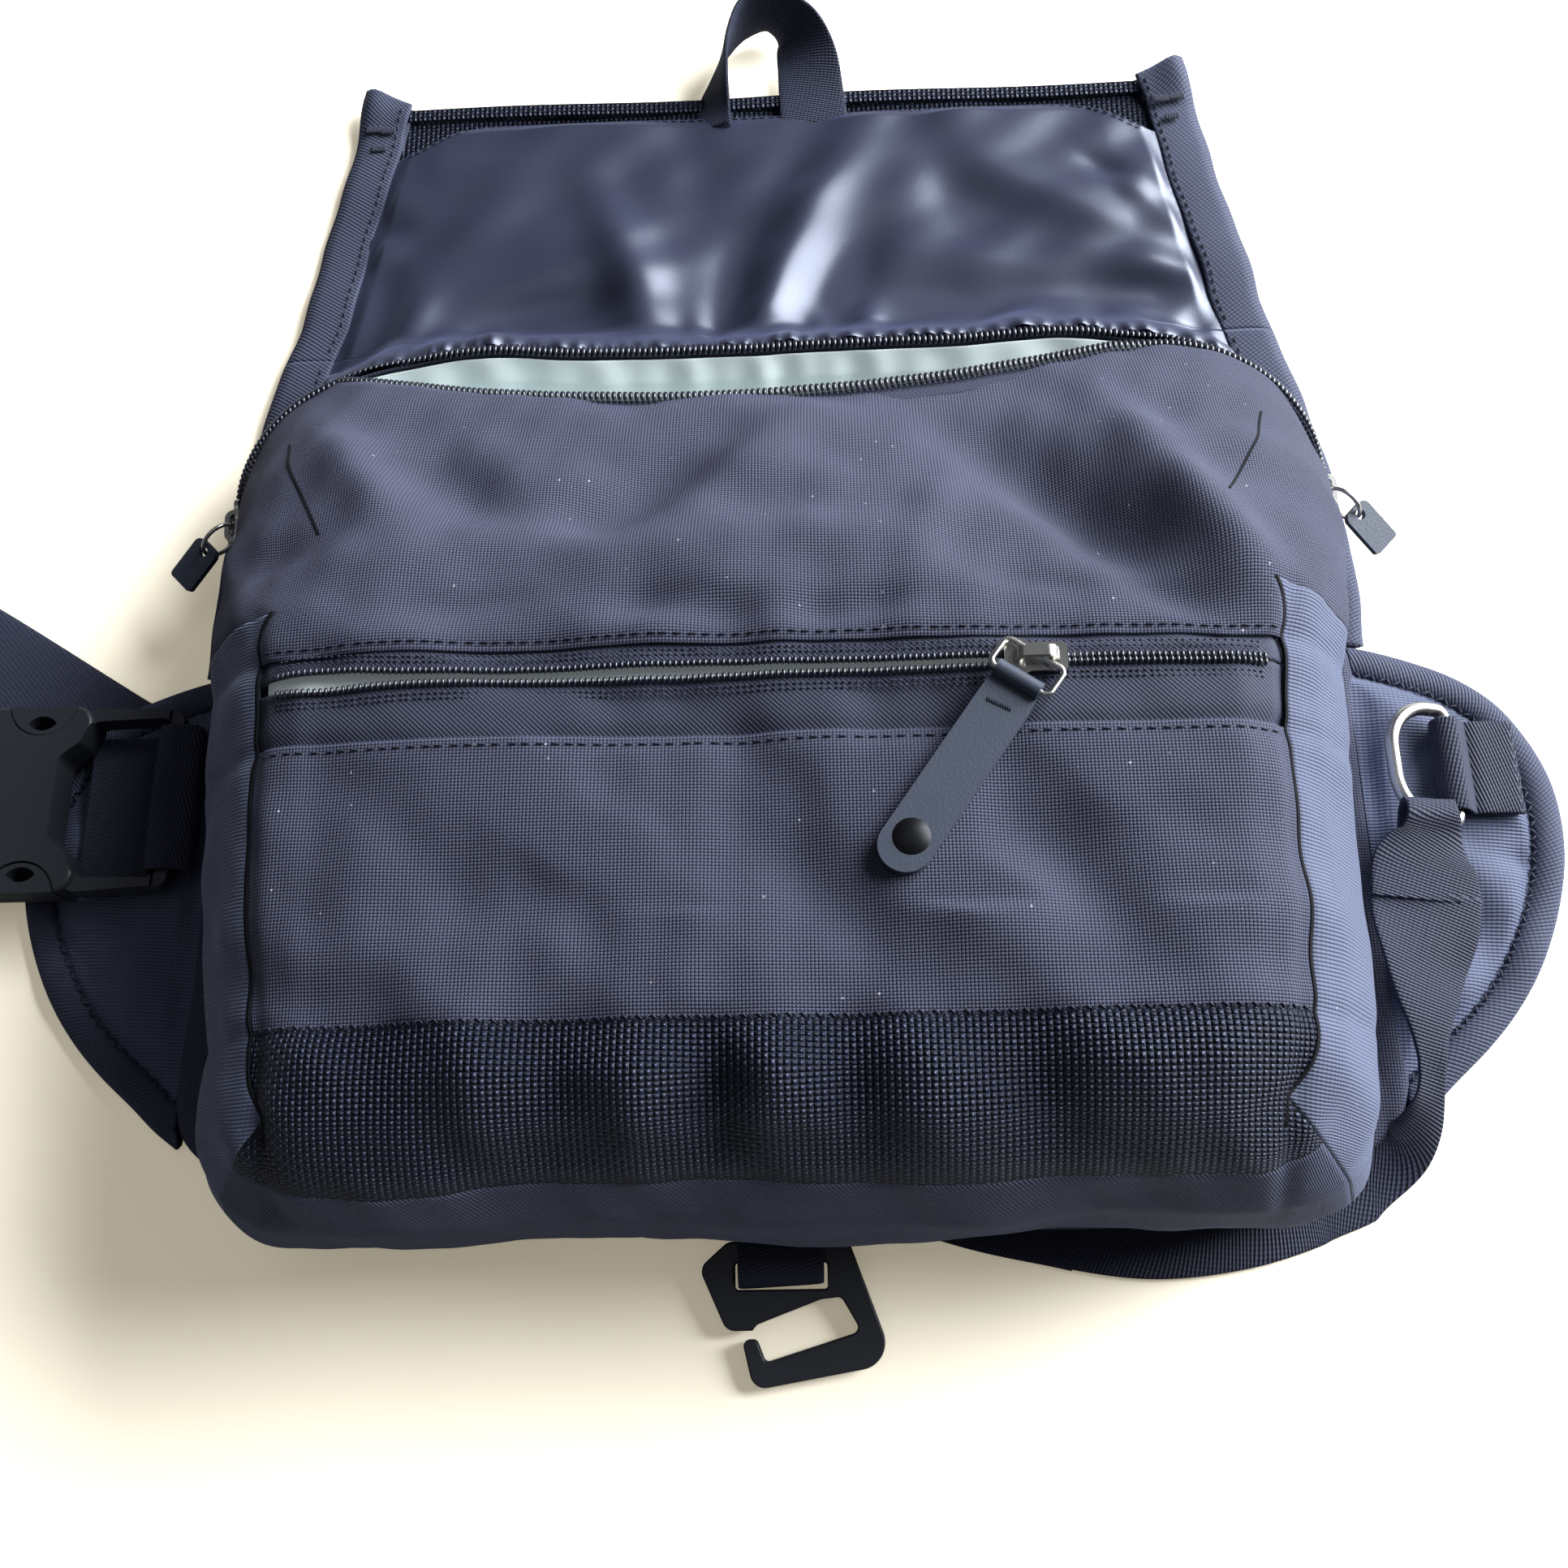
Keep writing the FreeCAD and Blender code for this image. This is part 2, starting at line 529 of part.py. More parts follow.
def make_back_panel():
    top = WING_TOP + 0.9
    corners = both_sides([(117.5, PANEL_BOTTOM, 8), (PANEL_WAIST, WING_BOTTOM, 10), (PANEL_WAIST, top, 0),
                          (140.5, top, 0), (139.5, 84, 20), (128.0, PANEL_TOP, 8)])
    core = plate(corners, 0, PANEL_T)
    seam_y = FLAP_ROOT - 0.2
    core = core.fuse(box(-125, 125, PANEL_TOP - 12, seam_y, 0, BIND_T))
    inner = [(138.0, top), (137.0, 84), (122.0, seam_y)]
    band, flange = bound_side(top, seam_y, inner)
    tail = HOOK_WEB / 2
    core = core.cut(strap_bed()).cut(box(HOOK_WEB_X - tail, HOOK_WEB_X + tail, PANEL_BOTTOM - 1, PANEL_BOTTOM + 6,
                                         HOOK_AXIS_Z - WEBBING, HOOK_AXIS_Z + WEBBING))
    low_band = band.cut(core)
    panel = core.fuse(flange.cut(core)).fuse(mirrored(flange.cut(core)))
    return {"back_panel": panel, "back_binding_right": low_band, "back_binding_left": mirrored(low_band)}


# ---------------------------------------------------------------- flap
def make_flap():
    """The flap in two stretches that fold one after the other, each a bound sheet with its lining."""
    pieces = {}
    gap = RUN_GAP / 2
    for name, low, high, end in (("flap_base", FLAP_ROOT + 0.1, FLAP_FOLD - gap, FLAP_FOLD - gap),
                                 ("flap", FLAP_FOLD + gap, FLAP_TIP, FLAP_TIP + EAR)):
        inner = [(side_line(low) - BIND_W, low), (side_line(high) - BIND_W, high)]
        mid = (BIND_T - SHEET) / 2
        edge = BIND_T / 3
        outline = [(side_line(low) - edge, low), (side_line(high) - edge, high),
                   (edge - side_line(high), high), (edge - side_line(low), low)]
        sheet = sharp(outline, mid, mid + SHEET)
        band_points = [(side_line(low), low), (side_line(end), end), (side_line(end) - BIND_W, end), inner[0]]
        band = sharp(band_points, 0, BIND_T).cut(sheet)
        lining_top = high - HEM if name == "flap" else high
        corner_drop = 12.0 if name == "flap" else 0.0
        lining = sharp([inner[0], (side_line(lining_top) - BIND_W, lining_top - corner_drop),
                        (60, lining_top), (-60, lining_top),
                        (BIND_W - side_line(lining_top), lining_top - corner_drop),
                        (-inner[0][0], low)], mid + SHEET, mid + SHEET + LINER)
        lining = lining.cut(band).cut(mirrored(band))
        pieces[name + "_outer"] = sheet
        pieces[name + "_binding_right"] = band
        pieces[name + "_binding_left"] = mirrored(band)
        pieces[name + "_lining"] = lining
    pieces["flap_pull_loop"] = make_pull_loop()
    return pieces


def make_pull_loop():
    """Webbing loop standing on its edge at the middle of the hem."""
    half = LOOP_W
    wall = WEBBING
    outer = [(half, FLAP_TIP, 0), (half * 0.72, FLAP_TIP + LOOP_L, 7), (-half * 0.5, FLAP_TIP + LOOP_L, 7),
             (-half, FLAP_TIP, 0)]
    inner = [(half - wall, FLAP_TIP - 1, 0), (half * 0.72 - wall, FLAP_TIP + LOOP_L - wall, 6),
             (wall - half * 0.5, FLAP_TIP + LOOP_L - wall, 6), (wall - half, FLAP_TIP - 1, 0)]
    return plate(outer, 0.2, LOOP_H).cut(plate(inner, -1, LOOP_H + 1))


# ---------------------------------------------------------------- wings
def wing_wire(inset, z=0.0):
    """Outline of the right wing, moved in by inset all round but the root."""
    root = HINGE_X + 0.45
    top = WING_TOP - inset
    low = WING_BOTTOM + inset
    reach = WING_REACH - inset
    knee = V(reach, -13, z)
    upper = Part.Arc(V(root, top, z), V(root + (reach - root) * 0.68, top - 12.5, z), knee).toShape()
    lower = Part.Arc(knee, V(root + (reach - root) * 0.74, -13 + (low + 13) * 0.54, z),
                     V(root, low, z)).toShape()
    side = Part.LineSegment(V(root, low, z), V(root, top, z)).toShape()
    return Part.Wire([upper, lower, side])


def make_wings():
    """Padded hip wings with a bound border, cut back at the root so that they can lift."""
    crown = Part.makeLoft([wing_wire(WING_BORDER, WING_EDGE_T), wing_wire(WING_BORDER + 3.0, WING_T)], True, True)
    pad = slab(wing_wire(WING_BORDER), 0, WING_EDGE_T).fuse(crown)
    border = slab(wing_wire(0.0), 0, WING_EDGE_T).cut(slab(wing_wire(WING_BORDER), -1, WING_T + 1))
    slope = math.tan(math.radians(WING_LIFT + 2))
    root = HINGE_X + 0.4
    top = WING_T + 1
    corners = [(root - 5, STRAP_T / 2), (root, STRAP_T / 2), (root + slope * top, top), (root - 5, top)]
    wedge = Part.makePolygon([V(x, -200, z) for x, z in corners + corners[:1]])
    wedge = Part.Face(wedge).extrude(V(0, 400, 0))
    bed = strap_bed()
    pieces = {}
    for name, solid in (("wing_", pad.cut(wedge)), ("wing_border_", border.cut(wedge))):
        pieces[name + "right"] = solid.cut(bed)
        pieces[name + "left"] = mirrored(solid).cut(bed)
    return pieces


# ---------------------------------------------------------------- belt strap
def across_y(points, thickness, y0, y1):
    """Webbing of that thickness along a path of (x, z) points, running from y0 to y1."""
    line = ribbon(points, thickness)
    wire = Part.makePolygon([V(x, y0, z) for x, z in line + line[:1]])
    return Part.Face(wire).extrude(V(0, y1 - y0, 0))


def make_strap():
    """Belt strap: flat under the pack, folded to the buckle at the left, up to the D-ring at the right."""
    pieces = {}
    run = sharp(ribbon(STRAP_PATH, STRAP_W), 0, STRAP_T)
    far = 600
    split = HINGE_X + STRAP_GAP + 0.2
    pieces["strap_under"] = run.common(box(HINGE_RELIEF - HINGE_X, 200, -far, far, -1, 5))
    low_end = run.common(box(-far, -split, -far, far, -1, 5))
    x, y = STRAP_FOLD
    turn = sharp(ribbon([(x, y), (x - 2, BUCKLE_Y - 14)], STRAP_W), STRAP_T, 2 * STRAP_T)
    pieces["strap_left"] = low_end.fuse(turn).removeSplitter()
    end = RING_BAR_Y - (D_INNER + D_WIRE) / 2 - RING_LOOP_TAIL - RUN_GAP
    rise = [(-108.5, 0.8), (-104, 1.6), (-98, 5.0), (-89, 9.9), (-76, 12.6), (-45, 15.6), (-26, 15.2), (end, 14.2)]
    line = ribbon(rise, STRAP_T)
    band = profile(line, 120, 180)
    plan = [(144.4, -108.5), (149.5, -100), (151, -92), (152.5, -76), (163, -50), (167, -34), (165, end),
            (146, end), (140, -38), (140, -48), (146, -76), (147.2, -90), (139.6, -100)]
    pieces["strap_right"] = band.common(sharp(plan, -1, 30))
    return pieces


# ---------------------------------------------------------------- D-ring
def make_d_ring():
    """Bent wire ring standing off the right wing, held by a sewn webbing tab."""
    half = (D_INNER + D_WIRE) / 2
    centre = V(RING_BAR_X, RING_BAR_Y, RING_BAR_Z)
    path = rounded([(0, half, 2.4), (0, -half, 2.4), (-D_DEPTH, -half, D_ROUND), (-D_DEPTH, half, D_ROUND)])
    start = path.Edges[0].valueAt(path.Edges[0].FirstParameter)
    tangent = path.Edges[0].tangentAt(path.Edges[0].FirstParameter)
    circle = Part.Wire([Part.makeCircle(D_WIRE / 2, start, tangent)])
    ring = path.makePipeShell([circle], True, True, 2)
    bend = D_ROUND - D_DEPTH
    wrap = Part.makeTorus(D_ROUND, D_WIRE / 2 + RUN_GAP + WEBBING, V(bend, D_ROUND - half, 0))
    wrap = wrap.common(box(bend - RING_LOOP, bend, -half - 6, D_ROUND - half - 6, -6, 6))
    wrap = wrap.fuse(box(bend - RING_LOOP, bend, -half - RING_LOOP_TAIL, 3 - half, -WEBBING, WEBBING))
    wrap = wrap.cut(Part.makeTorus(D_ROUND, D_WIRE / 2 + RUN_GAP, V(bend, D_ROUND - half, 0)))
    ring = turned(ring, V(0, 0, 0), V(0, 1, 0), D_TILT)
    ring.translate(centre)
    wrap = turned(wrap, V(0, 0, 0), V(0, 1, 0), D_TILT)
    wrap.translate(centre)
    y0 = RING_BAR_Y - D_WEB / 2
    bore = D_WIRE / 2 + RUN_GAP
    sleeve = Part.makeCylinder(bore + WEBBING, D_WEB, V(RING_BAR_X, y0, RING_BAR_Z), V(0, 1, 0))
    tail = box(RING_BAR_X, RING_BAR_X + 12, y0, y0 + D_WEB, RING_BAR_Z - bore - WEBBING,
               RING_BAR_Z - bore + WEBBING)
    hole = Part.makeCylinder(bore, D_WEB + 2, V(RING_BAR_X, y0 - 1, RING_BAR_Z), V(0, 1, 0))
    tab = sleeve.fuse(tail).cut(hole).cut(box(0, 300, -60, 60, 0, WING_T))
    return {"d_ring": ring, "d_ring_tab": tab, "strap_ring_loop": wrap}


# ---------------------------------------------------------------- G-hook
def make_hook():
    """Open G-shaped hook whose top bar turns in a webbing loop sewn into the bottom seam."""
    outline = [(-19.8, 5.7, 3.0), (-13.2, 0, 2.5), (14.6, 0, 2.5), (24.4, 26.9, 6.0), (-7.6, 32.3, 3.5),
               (-10.1, 21.5, 1.3), (-6.7, 21.5, 1.3), (-4.8, 26.5, 1.2), (17.0, 20.0, 1.6), (12.6, 12.4, 1.6),
               (8.0, 12.9, 3.0), (-6.6, 18.2, 0.8), (-7.7, 19.5, 0.5), (-13.6, 19.5, 3.0)]
    size = HOOK_W / 44.2
    outline = [(x * size, HOOK_BAR_TOP - drop * size, r * size) for x, drop, r in outline]
    low = HOOK_AXIS_Z - HOOK_T / 2
    hook = plate(outline, low, low + HOOK_T)
    x0 = HOOK_WEB_X - HOOK_WEB / 2
    x1 = x0 + HOOK_WEB
    slot = plate([(x0 - 0.6, HOOK_SLOT_LOW, 0.8), (x1 + 0.6, HOOK_SLOT_LOW, 0.8), (x1 + 0.6, HOOK_BAR_LOW, 0.8),
                  (x0 - 0.6, HOOK_BAR_LOW, 0.8)], low - 1, low + HOOK_T + 1)
    hook = hook.cut(slot)
    rims = [e for e in hook.Edges if e.BoundBox.ZLength < 0.01]
    hook = hook.makeFillet(0.5, rims)
    hook = turned(hook, V(0, HOOK_AXIS_Y, HOOK_AXIS_Z), V(1, 0, 0), HOOK_TILT)
    y = HOOK_AXIS_Y
    z = HOOK_AXIS_Z
    pinch = PANEL_BOTTOM - 0.4
    outer = [(PANEL_BOTTOM + 6, z - WEBBING), (pinch, z - WEBBING), (y + 2.2, z - 4.5), (y - 2.6, z - 4.6),
             (y - 5.0, z - 3.6), (y - 7.6, z - 1.2), (y - 7.9, z + 1.0), (y - 5.2, z + 3.8),
             (y - 2.6, z + 4.8), (y + 1.4, z + 4.7), (pinch, z + WEBBING), (PANEL_BOTTOM + 6, z + WEBBING)]
    inner = [(y + 3.15, z - 1.3), (y + 1.6, z - 3.2), (y - 2.4, z - 3.3), (y - 4.4, z - 2.4), (y - 6.3, z - 0.6),
             (y - 6.5, z + 0.5), (y - 4.6, z + 2.6), (y - 2.2, z + 3.4), (y + 1.2, z + 3.3), (y + 3.15, z + 1.3)]
    loop = profile(outer, x0, x1).cut(profile(inner, x0 - 1, x1 + 1))
    return {"g_hook": hook, "g_hook_loop": loop}


# ---------------------------------------------------------------- buckle
def make_buckle():
    """Side-release buckle with its prongs latched, drawn with x from the wing to the mouth."""
    edge = BUCKLE_W / 2
    half_t = BUCKLE_T / 2
    half_m = MOUTH_H / 2
    end = BUCKLE_HALF_L
    frame_t = half_t - 1.6
    frame = plate([(-end - 0.5, -edge + 1.5, 3), (-4, -edge, 6), (-4, edge, 6), (-end - 0.5, edge - 1.5, 3)],
                  -frame_t, frame_t)
    hole = [(-1.5, -10.5, 2.5), (-6.5, -14.5, 2.5), (-9.0, -20.5, 2.5), (-end + 2.5, -21.0, 2.0)]
    hole = hole + [(x, -y, r) for x, y, r in reversed(hole)]
    shell = plate([(-9, -edge, 5), (end, -edge, 4), (end, edge, 4), (-9, edge, 5)], -half_t, half_t)
    shell = shell.makeFillet(1.2, [e for e in shell.Edges if abs(e.BoundBox.ZLength) < 0.01])
    female = shell.fuse(frame).cut(plate(hole, -10, 10))
    trim = end - 3
    female = female.cut(box(-end - 5, -trim, -edge, edge, 2.0, 10)).cut(box(-end - 5, -trim, -edge, edge, -10, -2.0))
    female = female.cut(box(1.0, end + 1, -MOUTH_W / 2, MOUTH_W / 2, -half_m, half_m))
    side = edge - MOUTH_W / 2
    window = box(PAD_X - PAD_R, PAD_X + PAD_R, MOUTH_W / 2 - side, edge + 5, -half_m, half_m)
    notch = Part.makeCylinder(PAD_R, 20, V(PAD_X, edge + 1.0, -10))
    for piece in (window, notch):
        female = female.cut(piece).cut(piece.mirror(V(0, 0, 0), V(0, 1, 0)))
    prong_t = half_m - RUN_GAP
    arm = [(end + 2.2, 12.6, 0), (end + 2.2, 17.6, 0), (PAD_X + 9, MOUTH_W / 2 - 0.4, 2), (PAD_X + 9, 14.6, 4)]
    reach = Part.makeCylinder(PAD_R - 0.4, 2 * half_t - 1.0, V(PAD_X, edge + 1.0, -half_t + 0.5))
    cap = reach.common(box(-40, 40, 0, edge, -10, 10))
    neck = plate([(PAD_X + 9.4, 14.8, 0), (PAD_X + 9.4, MOUTH_W / 2 - 0.4, 0), (PAD_X + 6, edge - 2, 1),
                  (PAD_X - 6, edge - 2, 1), (PAD_X - 7, 17.6, 1), (PAD_X + 2, 16.4, 3)], -prong_t, prong_t)
    lens = Part.makeCylinder(4.6, 20, V(PAD_X, 22.6, -10)).common(Part.makeCylinder(4.6, 20, V(PAD_X, 17.2, -10)))
    prong = plate(arm, -prong_t, prong_t).fuse(neck).fuse(cap).cut(lens)
    base = end + 1.0
    stop = base + LADDER_L
    ladder = plate([(base, -23, 2.5), (stop, -22, 3), (stop, 22, 3), (base, 23, 2.5)], -3.6, 3.6)
    web = STRAP_W / 2 + 0.6
    ladder = ladder.cut(box(base + 6, base + 12, -web, web, -9, 9)).cut(box(base + 16, base + 22, -web, web, -9, 9))
    blade = plate([(6, -5, 1.5), (base + 2, -6.5, 0), (base + 2, 6.5, 0), (6, 5, 1.5)], -prong_t, prong_t)
    rails = box(base - 1, base + 4, 12, 18, -prong_t, prong_t)
    male = ladder.fuse(blade).cut(rails).cut(rails.mirror(V(0, 0, 0), V(0, 1, 0)))
    flat = BUCKLE_X - STRAP_FOLD[0]
    drop = 2 * STRAP_T + RUN_GAP + STRAP_T / 2 - BUCKLE_Z0 - half_t
    path = [(flat + 19, drop), (flat - 20, drop), (stop + 2.5, -5.2), (stop, -4.9), (base + 9.6, -4.9),
            (base + 8.4, -3.0), (base + 8.4, 3.2), (base + 9.6, 4.7), (base + 18, 4.7), (base + 19.2, 3.2),
            (base + 19.2, -3.4)]
    strap = across_y(path, STRAP_T, -STRAP_W / 2, STRAP_W / 2)
    x0 = -end - 0.5
    y0 = -STRAP_W / 2
    outer = box(x0 - RUN_GAP - WEBBING, x0 + 3 + RUN_GAP + WEBBING, y0, -y0, -2 - RUN_GAP - WEBBING,
                2 + RUN_GAP + WEBBING)
    inner = box(x0 - RUN_GAP, x0 + 3 + RUN_GAP, y0 - 1, 1 - y0, -2 - RUN_GAP, 2 + RUN_GAP)
    down = WING_T - BUCKLE_Z0 - half_t
    leg = box(x0 - RUN_GAP - WEBBING, x0 - RUN_GAP, y0, -y0, down, 0)
    sole = box(x0 - RUN_GAP - WEBBING, -6, y0, -y0, down, down + WEBBING)
    webbing = outer.cut(inner).fuse(leg).fuse(sole)
    pieces = {"buckle_female": female, "buckle_male": male, "prong_lower": prong,
              "prong_upper": prong.mirror(V(0, 0, 0), V(0, 1, 0)), "strap_buckle_end": strap,
              "wing_webbing_left": webbing}
    centre = V(BUCKLE_X, BUCKLE_Y, BUCKLE_Z0 + half_t)
    return {name: placed(shape, centre, V(-1, 0, 0), UP) for name, shape in pieces.items()}


def build():
    os.makedirs("parts", exist_ok=True)
    for make in (make_pouch, make_front_zip, make_front_slider, make_side_sliders, make_back_panel, make_flap,
                 make_wings, make_strap, make_d_ring, make_hook, make_buckle):
        for name, shape in make().items():
            export(name, shape)


build()
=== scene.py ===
import math
from functools import partial

import bmesh
import bpy
import numpy as np
from mathutils import Matrix


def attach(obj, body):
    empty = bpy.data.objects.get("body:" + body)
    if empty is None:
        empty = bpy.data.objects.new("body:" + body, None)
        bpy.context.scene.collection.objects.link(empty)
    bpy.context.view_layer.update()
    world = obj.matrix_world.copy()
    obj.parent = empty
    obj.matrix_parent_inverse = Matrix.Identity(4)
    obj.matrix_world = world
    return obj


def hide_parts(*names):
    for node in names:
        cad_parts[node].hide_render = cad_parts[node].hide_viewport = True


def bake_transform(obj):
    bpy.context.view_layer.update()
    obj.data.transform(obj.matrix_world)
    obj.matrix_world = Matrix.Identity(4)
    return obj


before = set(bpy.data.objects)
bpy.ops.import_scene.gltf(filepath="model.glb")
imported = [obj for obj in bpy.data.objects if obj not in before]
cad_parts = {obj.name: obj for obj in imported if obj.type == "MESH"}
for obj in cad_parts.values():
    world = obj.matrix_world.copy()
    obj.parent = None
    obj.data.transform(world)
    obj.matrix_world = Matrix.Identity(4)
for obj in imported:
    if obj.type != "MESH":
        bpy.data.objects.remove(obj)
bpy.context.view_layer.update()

bl_info = {
    "name": "Waist Pack",
    "version": (1, 0, 0),
    "blender": (4, 5, 0),
    "location": "3D View > Sidebar > Waist Pack",
    "description": "Builds the cloth, zips, webbing and finishes of a waist pack around its packed frame",
    "category": "Object",
}

MM = 0.001
TAU = 2 * math.pi
AHEAD = np.array([0.0, 1.0, 0.0])
UP = np.array([0.0, 0.0, 1.0])
SIDES = ((1, "right"), (-1, "left"))
BIND_W = 14.0            # width of the folded binding tape
WEB_W = 38.0             # width of the belt webbing
THREAD = 0.24            # radius of the sewing thread
CLOTH = 1.1              # thickness of the pouch's cloth
TAPE = 0.5               # thickness of the zip tapes
LINING = 0.4             # thickness of the linings
SECTION_POINTS = 28      # points round the section of a band of webbing


# ---------------------------------------------------------------- number helpers
def smooth(a, b, x):
    """Rises from 0 at a to 1 at b, flat at both ends: t * t * (3 - 2 t)."""
    t = np.clip((np.asarray(x, float) - a) / (b - a), 0, 1)
    return t * t * (3 - 2 * t)


def hill(x, middle, width):
    """Bell curve, 1 at the middle: exp(-((x - middle) / width) squared)."""
    return np.exp(-(((np.asarray(x, float) - middle) / width) ** 2))


def lerp(a, b, t):
    """Value from a at t = 0 to b at t = 1."""
    return a + (b - a) * t


def unit(v):
    """Vectors of the same direction with length 1."""
    return v / np.maximum(np.linalg.norm(v, axis=-1, keepdims=True), 1e-9)


def ripple(points, length, seed, waves=10):
    """Soft uneven relief of about unit size: a sum of plane waves.

    Each has a random direction, a random phase and nearly the given length."""
    rng = np.random.default_rng(seed)
    ways = unit(rng.normal(size=(waves, 3)))
    turns = TAU / (length * rng.uniform(0.7, 1.6, waves))
    phases = rng.uniform(0, TAU, waves)
    return np.sin((points @ ways.T) * turns + phases).sum(-1) * math.sqrt(2.0 / waves)


def plan_ripple(x, y, length, seed):
    """The same relief over a plan of x and y."""
    return ripple(np.stack([x, y, 0 * x], -1), length, seed)


def folds_at(x, y, folds):
    """Sum of slanted bell curves.

    Each fold has a middle x and y, half lengths along and across, a direction in degrees and a height."""
    total = np.zeros_like(x)
    for middle_x, middle_y, along, across, turn, high in folds:
        c, s = math.cos(math.radians(turn)), math.sin(math.radians(turn))
        dx, dy = x - middle_x, y - middle_y
        total = total + high * np.exp(-((dx * c + dy * s) / along) ** 2 - ((dy * c - dx * s) / across) ** 2)
    return total


def read_off(at, run, columns):
    """Every column of a table, known at the distances run, read off at other distances."""
    return np.stack([np.interp(at, run, columns[:, k]) for k in range(columns.shape[1])], -1)


def run_of(line):
    """Distance along the line at each of its points."""
    return np.concatenate([[0], np.cumsum(np.linalg.norm(np.diff(line, axis=0), axis=1))])


def respaced(line, count):
    """The same line with its points the same distance apart."""
    run = run_of(line)
    return read_off(np.linspace(0, run[-1], count), run, line)


def curve_through(points, count):
    """Evenly spaced points on a smooth line through the points: a centripetal spline."""
    p = np.asarray(points, float)
    p = np.vstack([2 * p[0] - p[1], p, 2 * p[-1] - p[-2]])
    knots = np.concatenate([[0], np.cumsum(np.linalg.norm(np.diff(p, axis=0), axis=1) ** 0.5)])
    t = np.linspace(knots[1], knots[-2], count * 8)
    i = np.clip(np.searchsorted(knots, t, side="right") - 1, 1, len(p) - 3)
    knot = [knots[i + k][:, None] for k in (-1, 0, 1, 2)]
    level = [p[i + k] for k in (-1, 0, 1, 2)]
    t = t[:, None]
    for reach, firsts in ((1, (0, 1, 2)), (2, (0, 1)), (1, (1,))):
        blends = []
        for k, first in enumerate(firsts):
            a, b = knot[first], knot[first + reach]
            blends.append((b - t) / (b - a) * level[k] + (t - a) / (b - a) * level[k + 1])
        level = blends
    return respaced(level[0], count)


def tangents(line):
    """Unit direction of a line at each of its points."""
    return unit(np.gradient(line, axis=0))


def grid_normals(points):
    """Unit normal at each point of a grid: the cross product of its two grid directions."""
    return unit(np.cross(np.gradient(points, axis=1), np.gradient(points, axis=0)))


def distance_to(points, line):
    """Distance in plan from each point to a line of points."""
    a, b = line[:-1, :2], line[1:, :2]
    p = points[..., None, :2]
    ab = b - a
    t = np.clip(((p - a) * ab).sum(-1) / (ab * ab).sum(-1), 0, 1)
    return np.linalg.norm(p - a - t[..., None] * ab, axis=-1).min(-1)


def in_plane(pairs, axis, value):
    """Points given by two of their coordinates; the third one, number axis, has the same value in all."""
    return np.insert(np.asarray(pairs, float), axis, value, axis=1)


# ---------------------------------------------------------------- mesh helpers
def piece_name(name):
    """Lower-case name with underscores; a piece named after the frame's own node is its fine version."""
    name = name.replace(" ", "_").lower()
    return name + "_fine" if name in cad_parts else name


def grid_faces(rows, cols, close_cols=False, flip=False):
    """Quads of a grid of points, numbered row by row."""
    i = np.arange(rows - 1)[:, None] * cols
    j = np.arange(cols if close_cols else cols - 1)[None, :]
    after = (j + 1) % cols
    quads = np.stack(np.broadcast_arrays(i + j, i + after, i + cols + after, i + cols + j), -1).reshape(-1, 4)
    return quads[:, ::-1] if flip else quads


def mesh_object(name, points, faces, uv=None):
    """Puts arrays of points, faces and uv into a new smooth object at the origin.

    A list of face arrays holds faces of another size in each array."""
    name = piece_name(name)
    points = np.asarray(points, float).reshape(-1, 3)
    kinds = faces if isinstance(faces, list) else [faces]
    corners = np.concatenate([kind.ravel() for kind in kinds]).astype(np.int32)
    sizes = np.concatenate([np.full(len(kind), kind.shape[1]) for kind in kinds])
    starts = (np.cumsum(sizes) - sizes).astype(np.int32)
    mesh = bpy.data.meshes.new(name)
    mesh.vertices.add(len(points))
    mesh.vertices.foreach_set("co", (points * MM).astype(np.float32).ravel())
    mesh.loops.add(len(corners))
    mesh.loops.foreach_set("vertex_index", corners)
    mesh.polygons.add(len(sizes))
    mesh.polygons.foreach_set("loop_start", starts)
    mesh.polygons.foreach_set("use_smooth", np.full(len(sizes), True))
    if uv is not None:
        layer = mesh.uv_layers.new(name="cloth")
        flat = np.asarray(uv, float).reshape(-1, 2)[corners] * MM
        layer.data.foreach_set("uv", flat.astype(np.float32).ravel())
    mesh.update(calc_edges=True)
    mesh.validate(clean_customdata=False)
    obj = bpy.data.objects.new(name, mesh)
    bpy.context.scene.collection.objects.link(obj)
    return obj


def grid_uv(points):
    """Lengths along the two grid directions, measured from the middle column and the first row."""
    across = np.cumsum(np.linalg.norm(np.diff(points, axis=1), axis=-1), 1)
    down = np.cumsum(np.linalg.norm(np.diff(points, axis=0), axis=-1), 0)
    u = np.pad(across, ((0, 0), (1, 0)))
    v = np.pad(down, ((1, 0), (0, 0)))
    return np.stack([u - u[:, points.shape[1] // 2][:, None], v], -1)


def grid_object(name, points, uv=None, flip=False):
    """A grid of points as one cloth; its uv are lengths along the grid where none are given."""
    uv = grid_uv(points) if uv is None else uv
    return mesh_object(name, points, grid_faces(*points.shape[:2], flip=flip), uv)


def joined(parts):
    """Adds (points, faces, uv) pieces into one set of arrays."""
    at, points, faces, uvs = 0, [], [], []
    for more_points, more_faces, uv in parts:
        points.append(more_points.reshape(-1, 3))
        faces.append(more_faces + at)
        uvs.append(uv.reshape(-1, 2))
        at += len(points[-1])
    return np.vstack(points), np.vstack(faces), np.vstack(uvs)


def welded(obj, distance=0.05):
    """Merges points that lie on each other, so that neighbouring grids are one cloth."""
    bm = bmesh.new()
    bm.from_mesh(obj.data)
    bmesh.ops.remove_doubles(bm, verts=bm.verts, dist=distance * MM)
    bm.to_mesh(obj.data)
    bm.free()
    return obj


